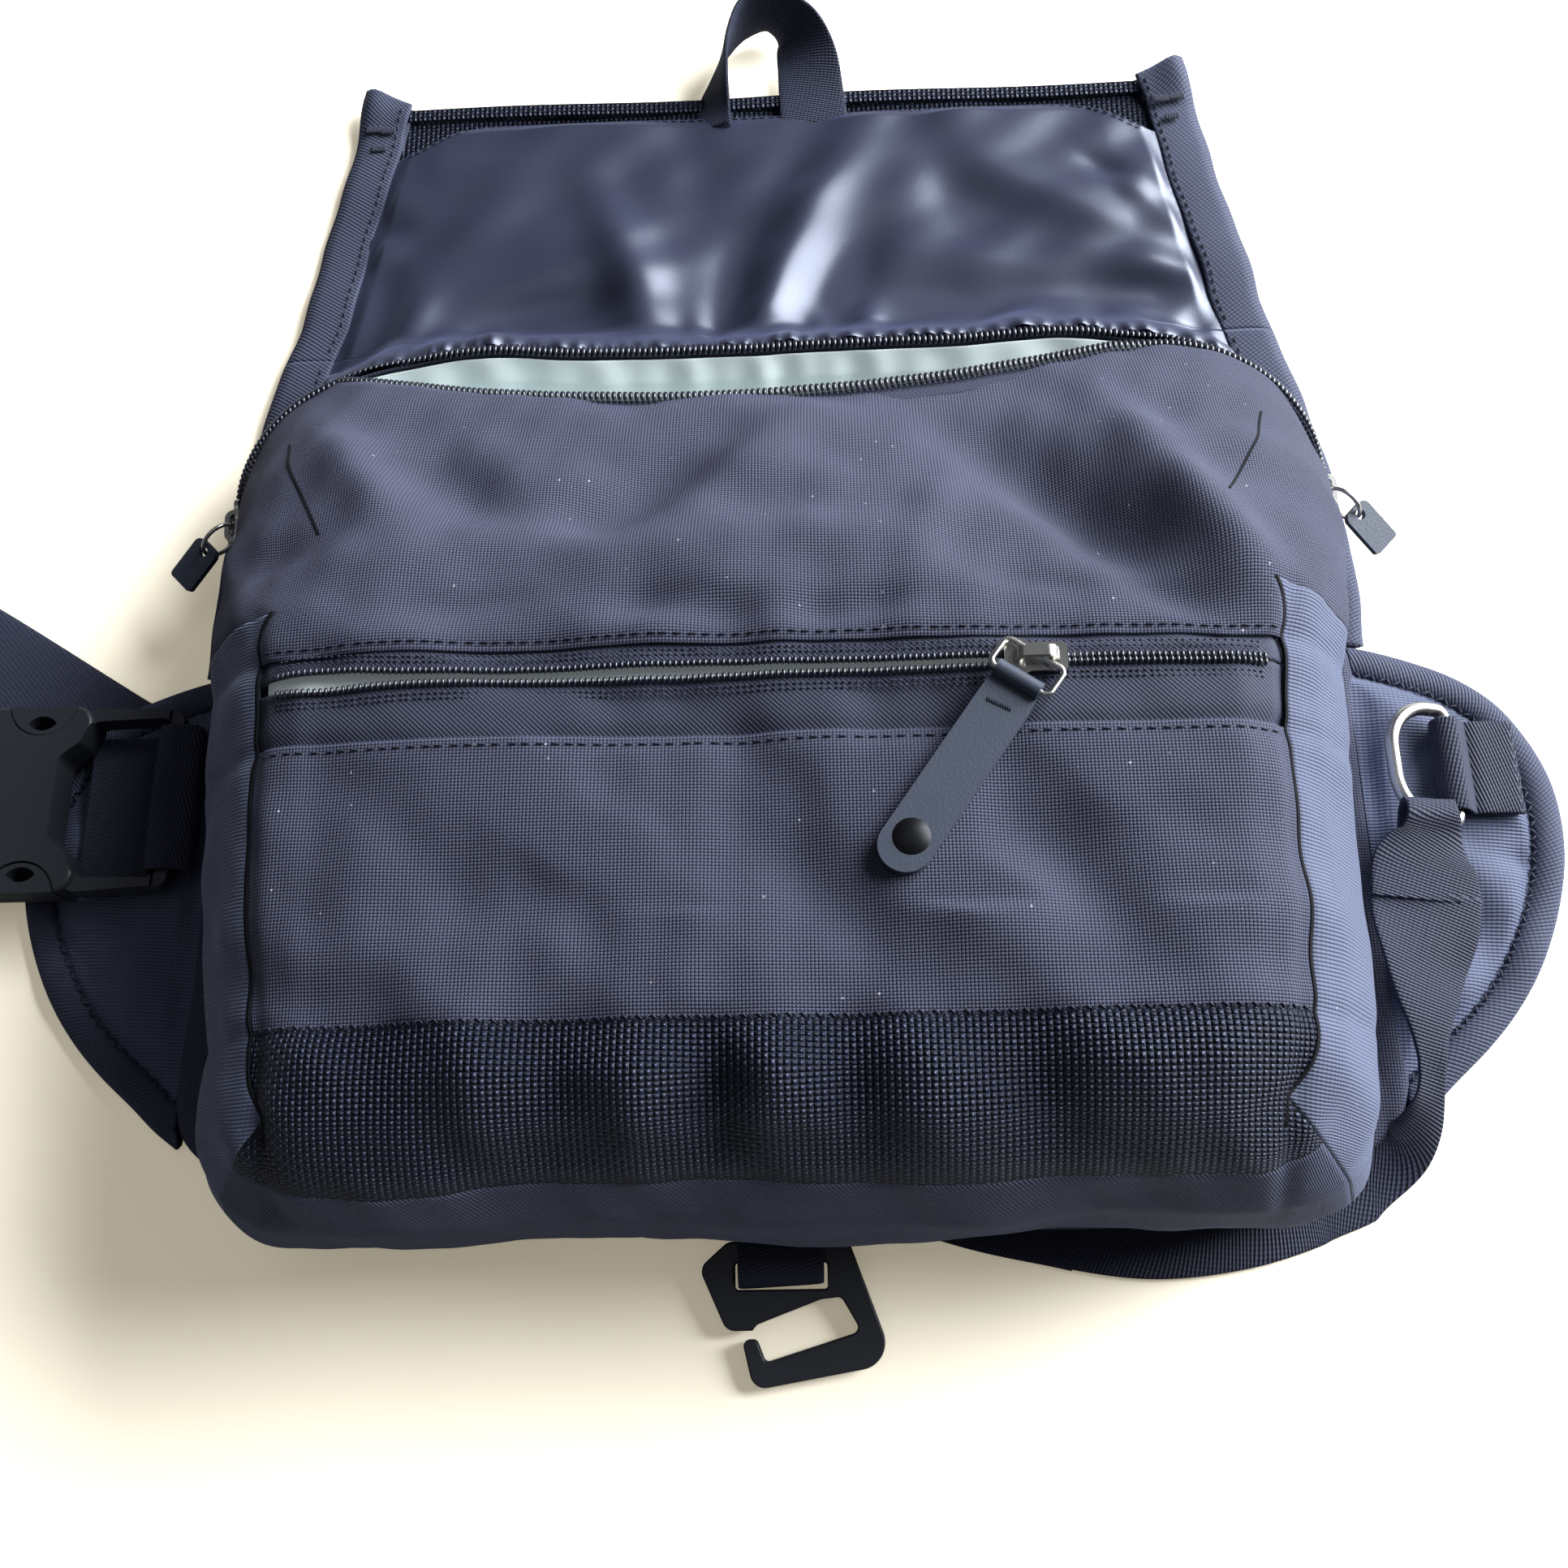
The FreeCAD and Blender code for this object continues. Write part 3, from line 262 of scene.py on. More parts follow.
def thickened(obj, thick, offset=-1.0):
    """Gives a cloth surface its thickness, inwards from its face, or to both sides where the offset is 0."""
    solid = obj.modifiers.new("cloth thickness", "SOLIDIFY")
    solid.thickness = thick * MM
    solid.offset = offset
    solid.use_rim = True
    solid.use_quality_normals = True
    return obj


def painted(obj, look):
    """Gives an object one finish."""
    obj.data.materials.clear()
    obj.data.materials.append(finishes()[look])


def dress(obj, look, body, slot, *nodes):
    """Gives a piece its look, hides the nodes that it stands for and sets the body that it rides on. The slot
    is not used.

    A piece given two bodies instead, with the places where a turn would start and end, does not use them: it
    is only fixed where it stands."""
    painted(obj, look)
    if nodes:
        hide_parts(*nodes)
    if isinstance(body, str):
        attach(obj, body)
    else:
        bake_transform(obj)


def band(name, line, side, width, thick, wave=None):
    """Flat webbing along a line: an oval-cornered section of that width and thickness, broad along side.

    Section point k stands at angle a: superellipse (|cos a| ^ 0.35, |sin a| ^ 0.42) with its signs kept.
    A wave moves the section's points outwards by a function of the distance along and the place across."""
    count = SECTION_POINTS
    angle = np.linspace(0, TAU, count, endpoint=False) + TAU / (2 * count)
    across = np.sign(np.cos(angle)) * np.abs(np.cos(angle)) ** 0.35
    through = np.sign(np.sin(angle)) * np.abs(np.sin(angle)) ** 0.42
    ahead = tangents(line)
    side = unit(side - (side * ahead).sum(-1, keepdims=True) * ahead)[:, None]
    out = np.cross(side, ahead[:, None])
    half = np.broadcast_to(width, len(line))[:, None, None] / 2
    points = line[:, None] + side * across[None, :, None] * half + out * through[None, :, None] * thick / 2
    run = run_of(line)
    if wave is not None:
        points = points + out * wave(run[:, None], across[None, :])[..., None]
    u = np.broadcast_to(run[:, None], points.shape[:2])
    v = across[None, :] * half[..., 0] + np.where(through > 0, 0, 60)[None, :]
    uv = np.vstack([np.stack([u, v], -1).reshape(-1, 2), [[0, 0], [run[-1], 0]]])
    total = len(line) * count
    k = np.arange(count)
    after = (k + 1) % count
    last = total - count
    first_cap = np.stack([np.full_like(k, total), after, k], -1)
    last_cap = np.stack([np.full_like(k, total + 1), last + k, last + after], -1)
    faces = [grid_faces(len(line), count, close_cols=True), first_cap, last_cap]
    return mesh_object(name, np.vstack([points.reshape(-1, 3), line[[0, -1]]]), faces, uv)


def beads(name, centres, along, out, length, radius, sides=6, rings=5, bow=0.0):
    """Many short round-ended threads in one mesh: thread k lies along its own direction at its own centre.

    A ring at s, from -1 to 1 along the thread, has radius times the square root of (1 - s to the fourth)."""
    s = np.linspace(-0.98, 0.98, rings)
    angle = np.linspace(0, TAU, sides, endpoint=False)
    along, out = (unit(np.broadcast_to(way, centres.shape)) for way in (along, out))
    third = np.cross(along, out)
    size = (radius * (1 - s ** 4) ** 0.5)[:, None]
    lifts = size * np.cos(angle) + (bow * (1 - s ** 2))[:, None]
    along, out, third = (way[:, None, None] for way in (along, out, third))
    points = centres[:, None, None] + along * (s * length / 2)[None, :, None, None]
    points = points + out * lifts[None, :, :, None] + third * (size * np.sin(angle))[None, :, :, None]
    total = rings * sides
    k = np.arange(1, sides - 1)
    low = np.stack([0 * k, k + 1, k], -1)
    high = np.stack([0 * k, k, k + 1], -1) + total - sides
    starts = (np.arange(len(centres)) * total)[:, None, None]
    quads = (grid_faces(rings, sides, close_cols=True)[None] + starts).reshape(-1, 4)
    caps = (np.vstack([low, high])[None] + starts).reshape(-1, 3)
    return mesh_object(name, points, [quads, caps])


def coil(name, line, across, out, pitch, length, radius, bow=0.35):
    """One row of zip coil: round wires lying across the row, bowed upward, one every pitch along the line."""
    run = run_of(line)
    at = np.arange(pitch / 2, run[-1], pitch)
    line, across, out = (read_off(at, run, np.broadcast_to(way, line.shape)) for way in (line, across, out))
    return beads(name, line, across, out, length, radius, sides=8, rings=7, bow=bow)


def stitches(name, line, out, pitch, length, seed, body, slot, radius=THREAD, skew=0.0):
    """A row of stitches along a line that lies on cloth whose normal is out. With a skew they zigzag."""
    rng = np.random.default_rng(seed)
    run = run_of(line)
    at = np.arange(pitch / 2, run[-1], pitch)
    at = at + rng.uniform(-0.12, 0.12, len(at)) * pitch
    centre = read_off(at, run, line)
    way = unit(read_off(at, run, tangents(line)))
    normal = unit(read_off(at, run, np.broadcast_to(out, line.shape)))
    cross = np.cross(way, normal)
    if skew:
        turn = skew * np.where(np.arange(len(at)) % 2 == 0, 1, -1)
    else:
        turn = rng.uniform(-0.06, 0.06, len(at))
    way = way * np.cos(turn)[:, None] + cross * np.sin(turn)[:, None]
    dress(beads(name, centre + normal * radius * 0.5, way, normal, length, radius), "thread", body, slot)


# ---------------------------------------------------------------- the pouch as one soft shell
LEVELS = np.array([     # ring, height, top, bottom, half width at top, at bottom, corner radii
    (0.0, 71.3, -36, -36, 0, 0, 0, 0), (0.557, 71.0, 12, -84, 103, 97, 12, 14),
    (0.614, 68, 25, -94, 113, 106, 16, 18), (0.688, 60, 43, -104, 124, 115, 22, 22),
    (0.787, 46, 72, -112, 136, 124, 28, 24), (0.873, 31, 97.5, -114, 141, 127, 34, 23),
    (0.932, 20, 116.5, -113, 142, 127, 38, 22), (1.0, 7, 116.5, -111, 141, 126, 38, 20)])
FINE = np.linspace(0, 1, 401)
FRONT_Z = 71.0           # height of the front face
SEAM_RING = 0.632        # ring of the side seams
BASE_RING = 0.705        # ring where the base panel meets the bottom gusset
LAST_RING = 0.998        # ring where the pouch meets the back panel
FRONT_ZIP = 2.5          # height in y of the pocket zip
BASE_SEAM = -74.0        # height in y of the seam between the lower front panel and the base panel
SOFTNESS = 0.3           # rounding where the cloth is kept below the pocket pull
SIDE_ROW_RING = 0.93     # ring near the main zip's rows on the sides
ROW_LOW = 43.6           # height in y at which the main zip's rows start on the sides
HALVINGS = 26            # steps of a search by halving
FRONT_U = np.linspace(-SEAM_RING, SEAM_RING, 181)    # columns of the front panels on the shell's map
# middle x and y, half lengths along and across, slant in degrees, height: hollows are negative
DENTS = (
    (95, 56, 34, 8, -68, 5.6), (72, 50, 32, 10, -54, -9.0), (50, 66, 18, 10, -50, -3.0),
    (104, 34, 14, 7, -52, 2.0), (-34, 55, 24, 10, 34, -6.4), (-4, 68, 26, 9, 44, 4.6),
    (6, 37, 40, 9, 3, 3.4), (-101, 66, 26, 8, -56, 5.2), (-74, 60, 24, 10, -52, -5.4),
    (-114, 42, 12, 6, 10, -2.8), (-62, 42, 28, 9, 12, 2.4), (38, 46, 18, 8, 70, 2.0),
    (-27, 20, 8, 5, 10, -2.2), (-8, 17, 8, 5, -10, -2.2), (12, 16, 8, 4.5, 0, -2.2),
    (25, 18, 7, 4, 10, -1.8), (-64, 22, 16, 5, 6, -1.6), (62, 24, 14, 5, -12, -2.0),
    (88, 20, 12, 5, -28, -1.4), (-20, 88, 40, 6, 0, 1.2), (-76, -40, 40, 11, -44, -1.2),
    (-30, -44, 44, 11, -42, 1.6), (2, -34, 40, 12, -40, -3.4), (40, -56, 42, 12, -36, 1.4),
    (62, -40, 28, 11, -58, -3.8), (92, -44, 12, 26, 0, 1.0), (-98, -40, 9, 26, 0, -2.4),
    (-92, -70, 16, 8, 0, -2.4), (-62, -84, 7, 13, 8, 2.2), (-26, -86, 7, 13, -4, 2.6),
    (2, -82, 6, 12, -12, 2.2), (32, -84, 8, 13, 12, 2.4), (80, -84, 18, 10, 12, 2.0),
    (-44, -86, 6, 13, 4, -2.4), (-12, -88, 5, 13, 0, -2.2), (17, -88, 6, 13, 4, -2.4),
    (54, -88, 8, 14, 10, -2.6), (-84, -84, 9, 13, 0, -2.0))


def level_table():
    """The level sizes at every fine ring, rounded off over the ridges by a bell-shaped average."""
    raw = read_off(FINE, LEVELS[:, 0], LEVELS[:, 1:])
    reach = 12
    weights = hill(np.arange(-reach, reach + 1), 0, 5.0)
    weights = weights / weights.sum()
    padded = np.vstack([2 * raw[0] - raw[reach:0:-1], raw, 2 * raw[-1] - raw[-2:-reach - 2:-1]])
    return np.stack([np.convolve(column, weights, mode="valid") for column in padded.T], -1)


TABLE = level_table()


def turned_by(v, angle):
    """Plan vectors turned counter-clockwise."""
    c, s = np.cos(angle)[..., None], np.sin(angle)[..., None]
    return np.concatenate([v[..., :1] * c - v[..., 1:] * s, v[..., :1] * s + v[..., 1:] * c], -1)


def ring_point(ring, place):
    """Point of the shell on a ring at a perimeter place: -1..1 up the right side, then top, left and bottom.

    Each side runs from the middle of one rounded corner to the middle of the next, evenly by length."""
    ring, place = np.broadcast_arrays(np.asarray(ring, float), np.asarray(place, float))
    sizes = (np.interp(ring, FINE, column) for column in TABLE.T)
    z, top, low, half_top, half_low, round_top, round_low = sizes
    round_top, round_low = np.maximum(round_top, 1e-4), np.maximum(round_low, 1e-4)
    corners = ((half_low, low), (half_top, top), (-half_top, top), (-half_low, low))
    corners = np.stack([np.stack(corner, -1) for corner in corners])
    radii = np.stack([round_low, round_top, round_top, round_low])
    turn = (place + 1) / 2
    side = np.floor(turn).astype(int) % 4
    share = turn - np.floor(turn)

    def corner_at(k):
        return np.take_along_axis(corners, ((side + k) % 4)[None, ..., None], 0)[0]

    def radius_at(k):
        return np.take_along_axis(radii, ((side + k) % 4)[None], 0)[0]

    def angle_between(u, v):
        return np.arctan2(u[..., 0] * v[..., 1] - u[..., 1] * v[..., 0], (u * v).sum(-1))

    a, b = corner_at(0), corner_at(1)
    radius_a, radius_b = radius_at(0), radius_at(1)
    ahead = unit(b - a)
    turn_a = angle_between(unit(a - corner_at(3)), ahead)
    turn_b = angle_between(ahead, unit(corner_at(2) - b))
    cut_a, cut_b = radius_a * np.tan(turn_a / 2), radius_b * np.tan(turn_b / 2)
    arc_a, arc_b = radius_a * turn_a / 2, radius_b * turn_b / 2
    straight = np.maximum(np.linalg.norm(b - a, axis=-1) - cut_a - cut_b, 1e-5)
    s = share * (arc_a + straight + arc_b)
    inward = np.stack([-ahead[..., 1], ahead[..., 0]], -1)
    start, end = a + ahead * cut_a[..., None], b - ahead * cut_b[..., None]
    on_line = start + ahead * (s - arc_a)[..., None]
    on_a = start + (inward + turned_by(-inward, (s - arc_a) / radius_a)) * radius_a[..., None]
    on_b = end + (inward + turned_by(-inward, (s - arc_a - straight) / radius_b)) * radius_b[..., None]
    before, after = (s < arc_a)[..., None], (s > arc_a + straight)[..., None]
    plan = np.where(before, on_a, np.where(after, on_b, on_line))
    return np.concatenate([plan, z[..., None]], -1)


def map_place(u, v):
    """Ring and perimeter place of a point of the shell's square map: the ring is the larger of |u|, |v|."""
    u, v = np.broadcast_arrays(np.asarray(u, float), np.asarray(v, float))
    ring = np.maximum(np.maximum(np.abs(u), np.abs(v)), 1e-6)
    on_side = np.where(u > 0, v / ring, 4 - v / ring)
    on_end = np.where(v > 0, 2 - u / ring, 6 + u / ring)
    return ring, np.where(np.abs(u) >= np.abs(v), on_side, on_end)


def shell_normal(ring, place):
    """Outward unit normal of the shell: the cross product of a step outwards and one along the ring."""
    ring = np.maximum(ring, 0.02)
    out = ring_point(np.minimum(ring + 0.003, 1), place) - ring_point(ring - 0.003, place)
    along = ring_point(ring, place + 0.008) - ring_point(ring, place - 0.008)
    return unit(np.cross(out, along))


def halved(low, high, is_low):
    """Values between low and high at which a test turns, found by halving."""
    for _ in range(HALVINGS):
        middle = (low + high) / 2
        under = is_low(middle)
        low, high = np.where(under, middle, low), np.where(under, high, middle)
    return (low + high) / 2


def v_at(u, y):
    """Map coordinate v at which the shell reaches height y on column u."""
    def is_low(v):
        return ring_point(*map_place(u, v))[..., 1] < y

    return halved(np.full_like(u, -0.8), np.full_like(u, 0.8), is_low)


def ring_at(place, test):
    """Ring at which test(point) falls to 0, place by place."""
    def is_low(ring):
        return test(ring_point(ring, place)) > 0

    return halved(np.full(place.shape, 0.5), np.full(place.shape, 1.0), is_low)


def further(place, ring, away):
    """Ring that lies some mm further out (down the shell) at the same place, measured along the shell."""
    rings = np.linspace(0.5, 1.0, 501)
    points = ring_point(rings[:, None], place[None, :])
    steps = np.linalg.norm(np.diff(points, axis=0), axis=-1)
    run = np.pad(np.cumsum(steps, 0), ((1, 0), (0, 0)))
    return np.array([np.interp(np.interp(here, rings, column) + away, column, rings)
                     for here, column in zip(ring, run.T)])


def side_place(y, ring):
    """Perimeter place on the right side where the ring reaches height y."""
    place = np.linspace(-0.999, 0.999, 1500)
    return np.interp(y, ring_point(ring, place)[:, 1], place)


def shell_relief(points):
    """Height that the cloth stands proud of the shell: broad sags, slanting folds, and puckers off the seams.

    A sum of soft waves, of the dents, and of fine waves times a bell curve of the seam distance."""
    x, y, z = points[..., 0], points[..., 1], points[..., 2]
    front = smooth(30, 56, z)
    lift = 0.75 * ripple(points * [1, 1, 0.7], 75, 5) + 0.4 * ripple(points * [1, 1.25, 1], 34, 8)
    lift = lift + 0.16 * ripple(points, 15, 12)
    lift = lift + folds_at(x, y, DENTS) * smooth(22, 40, z)
    near_zip = hill(y, 13, 6) * 0.5 + hill(y, -16, 7) * 0.45 + hill(y, BASE_SEAM - 7, 8) * 0.6
    lift = lift + front * near_zip * np.sin(x / 6.3 + 1.7 * np.sin(x / 19.0) + y * 0.05)
    drawn = hill(y, 9.5, 2.6) + hill(y, -12.5, 2.6) + 0.8 * hill(y, BASE_SEAM, 2.2)
    lift = lift - 0.8 * front * drawn
    edge = np.abs(x) - np.interp(y, [-99, -60, -14, 22], [104, 109, 112, 116])
    below = smooth(26, 20, y)
    lift = lift - 1.0 * hill(edge, 0, 2.4) * below * front
    lift = lift + 0.5 * hill(edge, 5, 7) * below * np.sin(y / 4.1 + np.sin(y / 11.0)) * front
    lift = lift * smooth(7, 15, z)
    flat_part = smooth(13, 7, y) * smooth(-58, -50, y) * smooth(66, 69, z)
    room = FRONT_Z + 0.5 - z + 6 * (1 - flat_part)
    return room - SOFTNESS * np.logaddexp(0, (room - lift) / SOFTNESS)


def cloth_at(ring, place, proud=0.0, amount=1.0):
    """Points of the cloth, their map and normals: the shell moved along its normals by the relief.

    The map counts x and y, plus the drop from the front on whichever way the cloth turns down."""
    points, normal = ring_point(ring, place), shell_normal(ring, place)
    cloth = points + normal * (shell_relief(points) * amount + proud)[..., None]
    drop = FRONT_Z - points[..., 2]
    u, v = (points[..., k] + np.sign(normal[..., k]) * drop * normal[..., k] ** 2 for k in (0, 1))
    return cloth, np.stack([u, v], -1), normal


def rows_between(a, b, steps):
    """Values from a to b, column by column, as steps + 1 rows."""
    t = np.linspace(0, 1, steps + 1)[:, None]
    return a[None] * (1 - t) + b[None] * t


def mouth_front(x):
    """Height in y of the mouth's front edge: a parabola, lowest left of the middle."""
    return 96.4 + 14.5 * ((x + 17.0) / 97.0) ** 2


def mouth_rings(place):
    """Ring of the main zip's front row at each place, and of its back row.

    Along the sides both follow the shell round at one height; over the top the front one dips forward."""
    height = ring_at(place, lambda point: point[..., 2] - 21.8)
    dip = ring_at(place, lambda point: mouth_front(point[..., 0]) - point[..., 1] - 0.9)
    over = (place > 1) & (place < 3)
    back = ring_at(place, lambda point: point[..., 2] - 18.2)
    return np.where(over, np.minimum(dip, height), height), back


def seam_end(ring):
    """Perimeter place where the top edge of the side gusset crosses a ring."""
    rings = np.linspace(SEAM_RING, 1, 40)
    place = np.linspace(-0.999, 0.999, 700)
    heights = ring_point(rings[:, None], place[None])[..., 1]
    goals = lerp(22.0, 14.0, (rings - SEAM_RING) / (1 - SEAM_RING))
    places = [np.interp(goal, row, place) for goal, row in zip(goals, heights)]
    return np.interp(ring, rings, places)


def fanned(ring, start):
    """Places of columns that leave the seam ring at start and spread evenly over the wrapped side."""
    grow = (1 - seam_end(ring)) / (1 - seam_end(SEAM_RING))
    right = 1 - (1 - start) * grow
    left = 3 + (start - 3) * grow
    return np.where(start < 1, right, np.where(start > 3, left, start))


def upper_blocks():
    """Upper front panel and the part of it that wraps the side, as one cloth up to the main zip.

    Rows climb from the pocket zip to the seam ring in the flat map, then follow the rings to the zip tape."""
    low, knee = v_at(FRONT_U, 9.0), v_at(FRONT_U, 22.0)
    climb = rows_between(knee, np.full_like(knee, SEAM_RING), 46)
    v = np.vstack([rows_between(low, knee, 12), climb[1:]])
    side = climb[:, -1] / SEAM_RING
    start = np.concatenate([side[:-1], 2 - FRONT_U[::-1] / SEAM_RING, 4 - side[::-1][1:]])
    first = seam_end(SEAM_RING)
    start[0], start[-1] = first, 4 - first
    place = fanned(SIDE_ROW_RING, start)
    y = ring_point(SIDE_ROW_RING, place)[:, 1]
    side_end = lerp(0.995, 0.918, smooth(33, 40, y))
    end = np.where(y > 40, further(place, mouth_rings(place)[0], -1.4), side_end)
    rings = rows_between(np.full_like(end, SEAM_RING), end, 50)
    return [(*map_place(FRONT_U[None], v), False), (rings, fanned(rings, start[None]), True)]


def lower_blocks():
    """Lower front panel between the pocket zip and the base seam."""
    v = rows_between(v_at(FRONT_U, BASE_SEAM), v_at(FRONT_U, -12.0), 56)
    return [(*map_place(FRONT_U[None], v), False)]


def wrap_rows(first, last, place, steps):
    """Block of a cloth that goes from one ring to another down the shell, at fixed places."""
    return rows_between(first + 0 * place, last + 0 * place, steps), place[None], True


def base_blocks():
    """Base panel: the foot of the front and its turn down to the bottom gusset."""
    v = rows_between(np.full_like(FRONT_U, -SEAM_RING), v_at(FRONT_U, BASE_SEAM), 26)
    under = wrap_rows(SEAM_RING, BASE_RING, 6 + FRONT_U / SEAM_RING, 22)
    return [(*map_place(FRONT_U[None], v), False), under]


def gusset_blocks(side):
    """Side gusset: from the bottom corner up to its point on the side seam."""
    rings = np.linspace(SEAM_RING, LAST_RING, 47)
    place = -1 + np.linspace(0, 1, 110)[None] * (seam_end(rings) + 1)[:, None]
    if side < 0:
        place = 4 - place[:, ::-1]
    return [(rings[:, None] + 0 * place, place, True)]


def bottom_blocks():
    """Bottom gusset under the base panel."""
    return [wrap_rows(BASE_RING, LAST_RING, np.linspace(5.0, 7.0, 181), 26)]


def back_wall_blocks():
    """Low wall behind the main zip, from the zip's back row down to the back panel."""
    end = side_place(42.0, 0.95)
    place = np.linspace(end, 4 - end, 220)
    return [wrap_rows(further(place, mouth_rings(place)[1], 1.4), LAST_RING, place, 10)]


def make_panels():
    """Front panels, base and gussets of the pouch, each its own cloth: grids welded where they meet."""
    for name, blocks, look, slot, *nodes in (
            ("Front panel upper", upper_blocks(), "canvas", "canvas", "front_panel_upper"),
            ("Front panel lower", lower_blocks(), "canvas", "canvas", "front_panel_lower"),
            ("Base panel", base_blocks(), "ballistic", "ballistic", "base_panel"),
            ("Bottom gusset", bottom_blocks(), "twill", "canvas", "bottom_gusset"),
            ("Side gusset right", gusset_blocks(1), "ribbed", "canvas", "side_gusset_right"),
            ("Side gusset left", gusset_blocks(-1), "ribbed", "canvas", "side_gusset_left"),
            ("Back wall", back_wall_blocks(), "canvas", "canvas")):
        parts = []
        for ring, place, down in blocks:
            cloth, uv, _ = cloth_at(ring, place)
            parts.append((cloth, grid_faces(*cloth.shape[:2], flip=down), uv))
        obj = mesh_object(name, *joined(parts))
        if len(parts) > 1:
            welded(obj)
        dress(thickened(obj, CLOTH), look, "pack", slot, *nodes)


def cloth_line(ring, place, proud):
    """Line on the cloth with its normals."""
    cloth, _, normal = cloth_at(ring, place, proud=proud)
    return cloth, normal


def make_panel_sewing():
    """Topstitching beside the pocket zip, and the zigzag on the base seam."""
    u = np.linspace(-0.62, 0.62, 400)
    for k, y in enumerate((11.0, -13.9)):
        line, normal = cloth_line(*map_place(u, v_at(u, y)), 0.15)
        stitches(f"Pocket topstitch {k}", line, normal, 3.1, 2.2, 20 + k, "pack", "canvas")
    line, normal = cloth_line(*map_place(u, v_at(u, BASE_SEAM + 0.7)), 0.15)
    stitches("Base seam stitch", line, normal, 1.5, 1.5, 30, "pack", "ballistic", skew=0.7)


def make_seam_shade():
    """Dark bands at the side seams and at the short darts at the top corners: partly the folded seam, partly
    painted shade of its crease.
    """
    ends = v_at(np.array([SEAM_RING, SEAM_RING]), np.array([-97.0, 22.0]))
    ring, place = map_place(SEAM_RING, np.linspace(*ends, 260))
    seam = (ring + 0.001, place)
    dart = (np.linspace(0.84, 0.70, 60), np.linspace(1.06, 1.12, 60))
    for label, (ring, place), proud, width, thick in (("Side seam ", seam, -0.25, 1.0, 0.8),
                                                      ("Corner dart ", dart, -0.1, 0.7, 0.5)):
        for side, tag in SIDES:
            line, normal = cloth_line(ring, place if side > 0 else 4 - place, proud)
            obj = band(label + tag, line, np.cross(tangents(line), normal), width, thick)
            # painted shade: a dark band laid in the seam's crease, partly the seam line itself
            dress(obj, "seam", "pack", "canvas")


# ---------------------------------------------------------------- zips and linings
def main_zip_row(which):
    """Places and rings of one row of the main zip, its line as it lies, its outward normal and the way down.

    The back row, number 1, stands up in the middle and bows outwards on both sides of it."""
    end = side_place(ROW_LOW, SIDE_ROW_RING)
    place = np.linspace(end, 4 - end, 700)
    ring = mouth_rings(place)[which]
    line, normal = ring_point(ring, place), shell_normal(ring, place)
    down = unit(ring_point(ring + 0.004, place) - ring_point(ring - 0.004, place))
    if which == 1:
        x = line[:, 0]
        middle = smooth(114, 70, np.abs(x))
        line = line + np.outer(2.2 * hill(np.abs(x), 80, 24) + 1.4 * middle, AHEAD)
        line = line + np.outer((2.2 + 0.5 * np.sin(x / 21.0)) * middle, UP)
        upright = unit(normal + np.outer(middle, [0, -0.55, 1.3]))
        down = unit(np.cross(np.cross(upright, down), upright))
        normal = upright
    wobble = 0.3 * np.sin(run_of(line) / 9.0 + which) + 0.2 * np.sin(run_of(line) / 4.1)
    return place, ring, line + down * wobble[:, None] * 0.5, normal, down


def back_row_at(x):
    """Heights in y and z of the main zip's back row, on its run across the top."""
    line = main_zip_row(1)[2]
    line = line[line[:, 1] > 82]
    return [np.interp(-np.asarray(x, float), -line[:, 0], line[:, k]) for k in (1, 2)]


def make_main_zip():
    """Two rows of coil with their tapes: the front row dips forward over the open mouth."""
    for which, name, way in ((0, "front", -1), (1, "back", 1)):
        place, ring, line, normal, down = main_zip_row(which)
        obj = coil("Main zip coil " + name, line + normal * 0.35, down, normal, 1.5, 3.4, 0.66, 0.7)
        dress(obj, "coil", "pack", "zip_coil", "main_zip_coil_" + name)
        steps = np.linspace(-0.7, 7.0, 9)
        rings = np.stack([further(place, ring, way * step) for step in steps])
        sunk = 0.6 + 0.06 * np.maximum(steps, 0) ** 1.4
        tape = ring_point(rings, place[None]) - shell_normal(rings, place[None]) * sunk[:, None, None]
        tape = tape + (line - ring_point(ring, place))[None] * smooth(7, 1, steps)[:, None, None]
        obj = thickened(grid_object("Main zip tape " + name, tape, flip=way > 0), TAPE)
        dress(obj, "tape", "pack", "zip_tape", "main_zip_tape_" + name)
        for k, away in enumerate((1.9, 2.6)):
            row = line + down * way * away - normal * 0.1
            seed = 3 + which + 2 * k
            stitches(f"Main zip sewing {name} {k}", row, normal, 1.5, 1.1, seed, "pack", "zip_tape")


